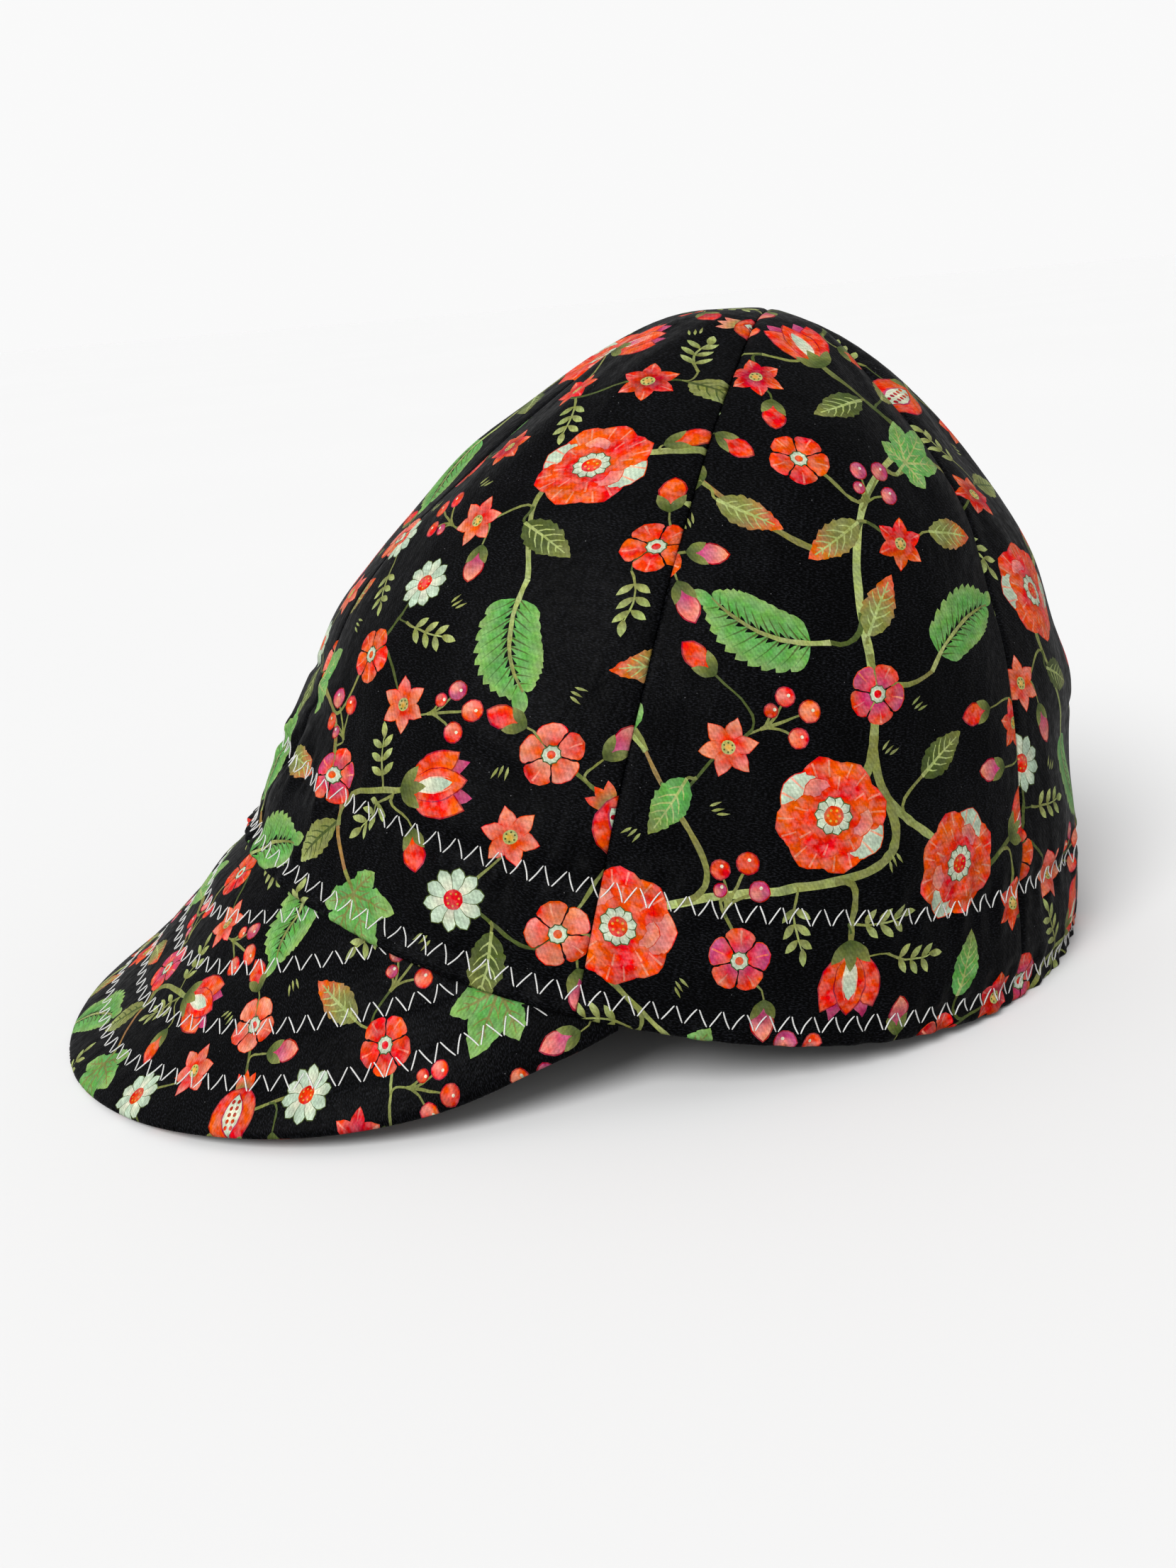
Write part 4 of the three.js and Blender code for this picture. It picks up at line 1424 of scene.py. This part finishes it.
@dataclass
class NodeTree:
    """A new material, with its nodes added and joined by short calls."""

    name: str
    material: bpy.types.Material = field(init=False, default=None)
    shader: bpy.types.Node = field(init=False, default=None)

    def __post_init__(self) -> None:
        """Starts the material with its one shader."""
        self.material = bpy.data.materials.new(self.name)
        self.material.use_nodes = True
        self.shader = self.material.node_tree.nodes["Principled BSDF"]

    def put(self, socket: Socket, value: object) -> None:
        """Links a socket into another, or sets a plain value on it."""
        if isinstance(value, bpy.types.NodeSocket):
            self.material.node_tree.links.new(value, socket)
        else:
            socket.default_value = value

    def feed(self, node: bpy.types.Node, values: dict[str, object]) -> bpy.types.Node:
        """Puts sockets or plain values into a node's inputs, by their names."""
        for name, value in values.items():
            self.put(node.inputs[name], value)
        return node

    def add(self, kind: str, values: Optional[dict[str, object]] = None, **settings: object) -> bpy.types.Node:
        """Adds a node of a kind, with its settings and what goes into it."""
        node = self.material.node_tree.nodes.new(kind)
        for key, value in settings.items():
            setattr(node, key, value)
        return self.feed(node, values or {})

    def maths(self, operation: str, *values: object) -> Socket:
        """A sum of up to three values."""
        node = self.add("ShaderNodeMath", operation=operation)
        for socket, value in zip(node.inputs, values):
            self.put(socket, value)
        return node.outputs[0]

    def product(self, first: object, *others: object) -> Socket:
        """The product of some values."""
        for other in others:
            first = self.maths("MULTIPLY", first, other)
        return first

    def ramp(self, value: Socket, gives: Pair, counts: Pair = (0.0, 1.0)) -> Socket:
        """Maps the range of a value that counts smoothly to what it gives."""
        node = self.add("ShaderNodeMapRange", interpolation_type="SMOOTHSTEP")
        for socket, given in zip(node.inputs, (value, *counts, *gives)):
            self.put(socket, given)
        return node.outputs["Result"]

    def split(self, vector: Socket) -> tuple[Socket, Socket]:
        """A vector's first two parts."""
        parts = self.add("ShaderNodeSeparateXYZ", {"Vector": vector}).outputs
        return parts["X"], parts["Y"]

    def noise(self, vector: Socket, mottle: Mottle) -> Socket:
        """Soft noise as it comes."""
        if mottle.turn:
            lie = {"Vector": vector, "Scale": mottle.stretch, "Rotation": (0.0, 0.0, mottle.turn)}
            vector = self.add("ShaderNodeMapping", lie).outputs["Vector"]
        values = {"Vector": vector, "Scale": mottle.fineness, "Detail": mottle.detail}
        return self.add("ShaderNodeTexNoise", values).outputs["Fac"]

    def mottled(self, vector: Socket, mottle: Mottle) -> Socket:
        """Soft noise, mapped to what it gives."""
        return self.ramp(self.noise(vector, mottle), mottle.gives, mottle.counts)

    def blend(self, factor: object, first: object, second: object, kind: str = "MIX") -> Socket:
        """Mixes two colours."""
        values = {"Factor": factor, "A": first, "B": second}
        return self.add("ShaderNodeMix", values, data_type="RGBA", blend_type=kind).outputs["Result"]

    def grey(self, value: Socket) -> Socket:
        """A value as a grey colour."""
        values = dict.fromkeys(("Red", "Green", "Blue"), value)
        return self.add("ShaderNodeCombineColor", values).outputs["Color"]

    def shaded(self, colour: object, value: Socket) -> Socket:
        """A colour made lighter or darker by a value."""
        return self.blend(1.0, colour, self.grey(value), "MULTIPLY")

    def bump(self, height: Socket, strength: float, depth: float, under: Optional[Socket] = None) -> Socket:
        """Bumps of a depth in millimetres, over other bumps if there are any."""
        node = self.add("ShaderNodeBump", {"Height": height, "Strength": strength, "Distance": depth * MM})
        if under is not None:
            self.put(node.inputs["Normal"], under)
        return node.outputs["Normal"]


@dataclass(frozen=True)
class Sateen:
    """A sateen weave on a flat cloth: the distance between its threads in millimetres, and its looks."""

    pitch: float
    turn: float = math.radians(3.0)
    weft_share: float = 1.22
    wander: Mottle = Mottle(0.35, 2.0)
    wander_by: float = 1.6
    float_share: float = 0.33

    def height(self, tree: NodeTree, flat: Socket) -> Socket:
        """The height of the weave over the cloth, from 0 to 1."""
        lie = {"Vector": flat, "Rotation": (0.0, 0.0, self.turn)}
        x, y = tree.split(tree.add("ShaderNodeMapping", lie).outputs["Vector"])
        wander = tree.product(tree.noise(flat, self.wander), self.wander_by)
        warp = tree.product(tree.maths("ADD", x, wander), 2.0 * math.pi / self.pitch)
        weft = tree.product(tree.maths("SUBTRACT", y, wander), 2.0 * math.pi / (self.weft_share * self.pitch))
        lean = tree.product(tree.maths("ADD", warp, weft), 0.5)
        total = tree.maths("MULTIPLY_ADD", tree.maths("SINE", warp), 0.5, tree.maths("SINE", lean))
        return tree.maths("MULTIPLY_ADD", total, self.float_share, 0.5)


@dataclass(frozen=True)
class PrintedCotton:
    """Black cotton sateen, printed with bright inks that the weave shows through, with painted sheen streaks on
    its black ground and painted shade in the weave's hollows.
    """

    name: str = "printed_cotton"
    weave: Sateen = Sateen(0.52)
    density: float = 1.082
    gloss: Mottle = Mottle(0.5, 2.0, (0.45, 0.58))
    ink_gain: float = 0.55
    wash: Mottle = Mottle(0.24, 4.0, (0.80, 1.14), (0.30, 0.72))
    stroke: Mottle = Mottle(0.62, 3.0, (0.84, 1.10), (0.36, 0.66), (0.9, 2.6, 1.0), 0.7)
    grain: Mottle = Mottle(3.4, 2.0, (0.93, 1.06))
    # Painted weave shade: the colour is darker where the weave dips and lighter on its raised threads.
    thread: Pair = (0.86, 1.07)
    hue: Mottle = Mottle(0.16, 3.0, (0.488, 0.512), turn=0.4)
    tint: Mottle = Mottle(0.5, 3.0, (1.08, 0.90))
    # Painted sheen: noise that lightens the black ground up to sevenfold in stretched streaks, standing in for
    # the satin's glints.
    painted_satin_sheen: Mottle = Mottle(1.9, 2.0, (0.30, 7.0), (0.46, 0.70), (0.75, 2.1, 1.0), 0.05)
    fading: Mottle = Mottle(0.09, 3.0, (0.75, 1.35))
    lint: tuple[float, ...] = (0.16, 0.16, 0.165, 1.0)
    lint_fineness: float = 0.42
    lint_size: Pair = (0.028, 0.055)
    lint_cover: Pair = (0.55, 0.0)
    lint_places: Mottle = Mottle(0.12, 1.0, counts=(0.52, 0.56))
    crinkle: Mottle = Mottle(0.17, 3.0, stretch=(1.0, 0.45, 1.0), turn=0.5)
    fuzz: Mottle = Mottle(0.7, 4.0)

    def make(self) -> bpy.types.Material:
        """Builds the material from the cloth's own print colours and flat map."""
        tree = NodeTree(self.name)
        printed = tree.add("ShaderNodeAttribute", attribute_name="print").outputs
        flat = tree.add("ShaderNodeUVMap", uv_map="cloth").outputs["UV"]
        woven = self.weave.height(tree, flat)
        # Painted weave shade, from the same height as the weave's bumps, darkening inks and ground in its
        # hollows.
        thread = tree.ramp(woven, self.thread)
        paint = [tree.mottled(flat, mottle) for mottle in (self.wash, self.stroke, self.grain)]
        inked = tree.add("ShaderNodeHueSaturation", {
            "Hue": tree.mottled(flat, self.hue),
            "Saturation": tree.mottled(flat, self.tint),
            "Value": tree.product(*paint, thread, self.ink_gain),
            "Color": printed["Color"],
        })
        # The ground's colour: random fading, times painted sheen streaks, times painted weave shade.
        ground = tree.product(tree.mottled(flat, self.fading), tree.mottled(flat, self.painted_satin_sheen), thread)
        cloth = tree.blend(printed["Alpha"], tree.shaded(printed["Color"], ground), inked.outputs["Color"])
        specks = tree.add("ShaderNodeTexVoronoi", {"Vector": flat, "Scale": self.lint_fineness},
                          feature="F1", distance="EUCLIDEAN").outputs["Distance"]
        lint = tree.product(tree.ramp(specks, self.lint_cover, self.lint_size),
                            tree.mottled(flat, self.lint_places))
        crinkled = tree.bump(tree.noise(flat, self.crinkle), 0.55, 1.3)
        fuzzy = tree.bump(tree.noise(flat, self.fuzz), 0.35, 0.25, crinkled)
        tree.feed(tree.shader, {
            "Base Color": tree.blend(lint, cloth, self.lint),
            "Roughness": tree.mottled(flat, self.gloss),
            "IOR": self.density,
            "Normal": tree.bump(woven, 0.6, 0.05, fuzzy),
        })
        return tree.material


@dataclass(frozen=True)
class BandCotton:
    """Plain black cotton with a fine weave, with painted shade in the weave's hollows."""

    name: str = "band_cotton"
    weave: Sateen = Sateen(0.6)
    tone: tuple[float, ...] = (0.0115, 0.0112, 0.0125, 1.0)
    fading: Mottle = Mottle(0.2, 3.0, (0.8, 1.25))
    # Painted weave shade: darker where the weave dips and lighter on its raised threads.
    thread: Pair = (0.7, 1.15)
    roughness: Pair = (0.86, 0.72)
    specular: float = 0.12
    sheen: float = 0.04
    sheen_roughness: float = 0.5

    def make(self) -> bpy.types.Material:
        """Builds the material on the cloth's flat map."""
        tree = NodeTree(self.name)
        flat = tree.add("ShaderNodeUVMap", uv_map="cloth").outputs["UV"]
        woven = self.weave.height(tree, flat)
        tree.feed(tree.shader, {
            # Colour with random fading and painted weave shade.
            "Base Color": tree.shaded(self.tone, tree.product(tree.mottled(flat, self.fading),
                                                              tree.ramp(woven, self.thread))),
            "Roughness": tree.ramp(woven, self.roughness),
            "Specular IOR Level": self.specular,
            "Sheen Weight": self.sheen,
            "Sheen Roughness": self.sheen_roughness,
            "Normal": tree.bump(woven, 0.6, 0.07),
        })
        return tree.material


@dataclass(frozen=True)
class WhiteThread:
    """White spun sewing thread, twisted from plies, with painted shade in the grooves between them."""

    name: str = "white_thread"
    twist: float = 2.2
    tone: tuple[float, ...] = (0.47, 0.47, 0.455, 1.0)
    # Painted shade: the colour darkens in the grooves between the plies, where the twist's bumps dip.
    plies: Pair = (0.80, 1.0)
    lustre: Mottle = Mottle(260.0, 2.0, (0.88, 1.04))
    roughness: Pair = (0.70, 0.52)
    specular: float = 0.35
    sheen: float = 0.2

    def make(self) -> bpy.types.Material:
        """Builds the material on the thread's own map of length and turn."""
        tree = NodeTree(self.name)
        length, turn = tree.split(tree.add("ShaderNodeUVMap", uv_map="thread").outputs["UV"])
        turns = tree.product(tree.maths("MULTIPLY_ADD", length, self.twist, turn), 2.0 * math.pi)
        twist = tree.maths("MULTIPLY_ADD", tree.maths("SINE", turns), 0.5, 0.5)
        place = tree.add("ShaderNodeTexCoord").outputs["Object"]
        tree.feed(tree.shader, {
            # Colour with painted shade between the plies, varied by fine lustre noise.
            "Base Color": tree.shaded(self.tone, tree.product(tree.ramp(twist, self.plies),
                                                              tree.mottled(place, self.lustre))),
            "Roughness": tree.ramp(twist, self.roughness),
            "Specular IOR Level": self.specular,
            "Sheen Weight": self.sheen,
            "Normal": tree.bump(twist, 0.5, 0.06),
        })
        return tree.material


@dataclass(frozen=True)
class PaleFloor:
    """A plain matt floor, nearly white."""

    name: str = "studio_floor"
    tone: Mottle = Mottle(1.5, 2.0, (0.510, 0.514))
    roughness: float = 0.9
    specular: float = 0.1

    def make(self) -> bpy.types.Material:
        """Builds the material."""
        tree = NodeTree(self.name)
        place = tree.add("ShaderNodeTexCoord").outputs["Object"]
        tree.feed(tree.shader, {
            "Base Color": tree.grey(tree.mottled(place, self.tone)),
            "Roughness": self.roughness,
            "Specular IOR Level": self.specular,
        })
        return tree.material


@dataclass
class Studio:
    """The pale floor, the soft light, and the camera that sees the cap as the photograph does."""

    aim: Triple = (0.0, 0.0, 0.07)
    azimuth: float = 73.605
    elevation: float = 17.228
    roll: float = -4.716
    place: Triple = (0.35358, -0.10025, 0.15753)
    focal_pixels: float = 2197.95
    frame_height: float = 2212.0
    film: float = 36.0
    nearest: float = 0.01
    floor_half: float = 60.0
    floor_drop: float = 0.2
    air: float = 0.95
    sun_place: Triple = (0.62, -0.70, 0.95)
    sun_width: float = 30.0
    sun_strength: float = 4.05

    def build(self) -> None:
        """Makes the floor, the light, the world and the camera."""
        self.add_floor()
        self.add_sun()
        world = bpy.data.worlds.new("studio_air")
        world.use_nodes = True
        air = world.node_tree.nodes["Background"].inputs
        air["Color"].default_value = (1.0, 1.0, 1.0, 1.0)
        air["Strength"].default_value = self.air
        bpy.context.scene.world = world
        bpy.context.scene.view_settings.view_transform = "Standard"
        self.add_camera()

    def add_floor(self) -> None:
        """Lays the floor just under the cap."""
        bpy.ops.object.select_all(action="DESELECT")
        bpy.ops.mesh.primitive_plane_add(size=2.0 * self.floor_half, location=(0.0, 0.0, 0.0))
        floor = bpy.context.object
        floor.name = "studio_floor"
        for vertex in floor.data.vertices:
            vertex.co.z = -self.floor_drop * MM
        floor.data.materials.append(PaleFloor().make())

    def add_sun(self) -> None:
        """Sets the one soft light and turns it to the cap."""
        lamp = bpy.data.lights.new("key_light", "SUN")
        lamp.angle = math.radians(self.sun_width)
        lamp.energy = self.sun_strength
        holder = bpy.data.objects.new("key_light", lamp)
        holder.location = self.sun_place
        away = Vector(self.sun_place) - Vector(self.aim)
        holder.rotation_euler = away.to_track_quat("Z", "Y").to_euler()
        bpy.context.collection.objects.link(holder)

    def add_camera(self) -> None:
        """Sets the camera at the photograph's angle, with its small roll."""
        azimuth, elevation = math.radians(self.azimuth), math.radians(self.elevation)
        back = Vector((math.sin(azimuth) * math.cos(elevation), -math.cos(azimuth) * math.cos(elevation),
                       math.sin(elevation)))
        level = Vector((math.cos(azimuth), math.sin(azimuth), 0.0))
        right = Matrix.Rotation(math.radians(self.roll), 3, back) @ level
        data = bpy.data.cameras.new("photo_camera")
        data.lens = self.focal_pixels * self.film / self.frame_height
        data.sensor_width = self.film
        data.clip_start = self.nearest
        camera = bpy.data.objects.new("photo_camera", data)
        basis = Matrix((right, back.cross(right), back)).transposed().to_4x4()
        camera.matrix_world = Matrix.Translation(Vector(self.place)) @ basis
        bpy.context.collection.objects.link(camera)
        bpy.context.scene.camera = camera


@dataclass
class WeldingCap:
    """The whole cap: six panels, the band, the peak, and the rows of stitches."""

    form: CapForm = field(default_factory=CapForm)
    design: PrintDesign = field(default_factory=PrintDesign)
    first_cut: Pair = (11.0, 30.0)
    next_cut: Pair = (61.0, 83.0)
    peak_cuts: tuple[Pair, Pair] = ((37.0, 51.0), (90.0, 150.0))
    shows_through: float = 6.5
    crease_share: float = 0.45
    crease_radius: float = 2.2
    hem_gap: float = 0.7
    hem_blend: Pair = (-0.6, 1.0)

    def __post_init__(self) -> None:
        """Takes the cloth's behaviour and the cuts from the form, and makes the materials."""
        self.cloth = SoftCloth(self.form)
        self.peak = PeakCut(self.form)
        self.band = BandCut(self.form)
        self.cotton = PrintedCotton().make()
        self.band_cloth = BandCotton().make()
        self.thread = WhiteThread().make()

    def build(self) -> None:
        """Makes every piece in turn."""
        self.design.grow()
        Report.info("print: %d shapes to a repeat", len(self.design.patches))
        for number, panel in enumerate(Panel):
            self.add_panel(number, panel)
        self.add_peak()
        self.add_band()
        self.add_stitches()

    def finish(self, piece: bpy.types.Object, material: bpy.types.Material, node: str = "") -> None:
        """Dresses a piece, lets it ride with the cap, and reports it."""
        piece.data.materials.append(material)
        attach(piece, "root")
        if node:
            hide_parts(node)
        Report.info("%s: %d faces", piece.name, len(piece.data.polygons))

    def prints(self, outline: Array, *cuts: Array) -> list[list[Patch]]:
        """The print on a flat outline, cut from some places on the printed cloth."""
        return [self.design.over(outline.min(0), outline.max(0), np.array(cut)) for cut in cuts]

    def add_panel(self, number: int, panel: Panel) -> None:
        """Cuts one crown panel from its own place on the printed cloth, and lays it on the crown."""
        gore = Gore(self.form, self.cloth, panel)
        outline = gore.outline()
        patches, = self.prints(outline, np.array(self.first_cut) + number * np.array(self.next_cut))
        ghost = [patch for patch in patches if np.ptp(patch.outline, axis=0).max() > self.shows_through]
        name = panel.value[0].replace("crown_panel", "cloth_panel")
        piece = ClothPiece(name, FlatSheet(outline, extra=gore.rows()), gore.lie, self.form, patches, ghost)
        self.finish(piece.make(), self.cotton, panel.value[0])

    def add_peak(self) -> None:
        """Cuts the peak's two faces, each from its own place on the print, and lays it under the rim."""
        outline = self.peak.outline()
        prints = self.prints(outline, *self.peak_cuts)
        piece = ClothPiece("cloth_peak", FlatSheet(outline, pitch=1.8), self.peak.lie, self.form, *prints,
                           coarse=2.2, wrong_gain=1.0, wrong_ground=0.0)
        self.finish(piece.make(), self.cotton, "peak")

    def add_band(self) -> None:
        """Cuts the band and lays it inside the rim."""
        sheet = FlatSheet(self.band.outline(), pitch=2.2, insets=(0.06, 0.2, 0.45, 0.9))
        piece = ClothPiece("cloth_band", sheet, self.band.lie, self.form, [], [], coarse=2.0)
        self.finish(piece.make(), self.band_cloth, "inner_band")

    def add_stitches(self) -> None:
        """Sews two rows round the crown and four on the peak, each seen from both sides of the cloth."""
        turns = np.linspace(0.0, 360.0, 721)
        for name, height in zip(("upper", "lower"), self.cloth.rows):
            line = np.stack([turns, np.full_like(turns, height)], 1)
            self.sew(f"stitches_{name}", self.crown_surface, line, closed=True)
            self.sew(f"stitches_{name}_inside", self.band_surface, line[::-1], closed=True)
        for number, row in enumerate(self.peak.rows, 1):
            name, line = f"peak_stitches_{number}", self.peak.row_line(row)
            self.sew(name, self.peak.surface(Face.RIGHT), line, seed=10 + number)
            self.sew(f"{name}_under", self.peak.surface(Face.WRONG), line[::-1], seed=20 + number)

    def sew(self, name: str, surface: Surface, line: Array, **look: object) -> None:
        """Sews one row of stitches along a line on one face of the cloth."""
        row = ZigzagRow(name, surface, line, self.form, **look)
        self.finish(row.make(), self.thread)

    def crown_surface(self, places: Array, out: Array) -> Array:
        """The crown's outer face for turns and heights, or some way outside it."""
        turn, below = places[:, 0], self.form.below_at(places[:, 1])
        crease = rounding(self.cloth.seam_gap(turn, below), self.crease_radius)
        out = out - self.crease_share * self.form.cloth / 2.0 * crease
        return self.form.crown(turn, below, self.cloth.crown_out(turn, below) + out)

    def band_surface(self, places: Array, out: Array) -> Array:
        """The inner face of band and crown for turns and heights, or some way inside it."""
        turn, height = places.T
        top = self.form.band_height
        gap = np.maximum(np.minimum(top - height, height - self.band.lift), self.hem_gap)
        band = self.band.face_at(turn, np.minimum(height, top), Face.WRONG, gap, out)
        below = self.form.below_at(height)
        crown = self.form.crown(turn, below, self.cloth.crown_out(turn, below) - self.form.cloth - out)
        share = smooth(height, top + self.hem_blend[0], top + self.hem_blend[1])[:, None]
        return band * (1.0 - share) + crown * share


def main() -> None:
    """Builds the studio and the cap."""
    logging.basicConfig(level=logging.INFO, format="%(name)s %(message)s")
    Studio().build()
    WeldingCap().build()


if __name__ == "__main__":
    main()
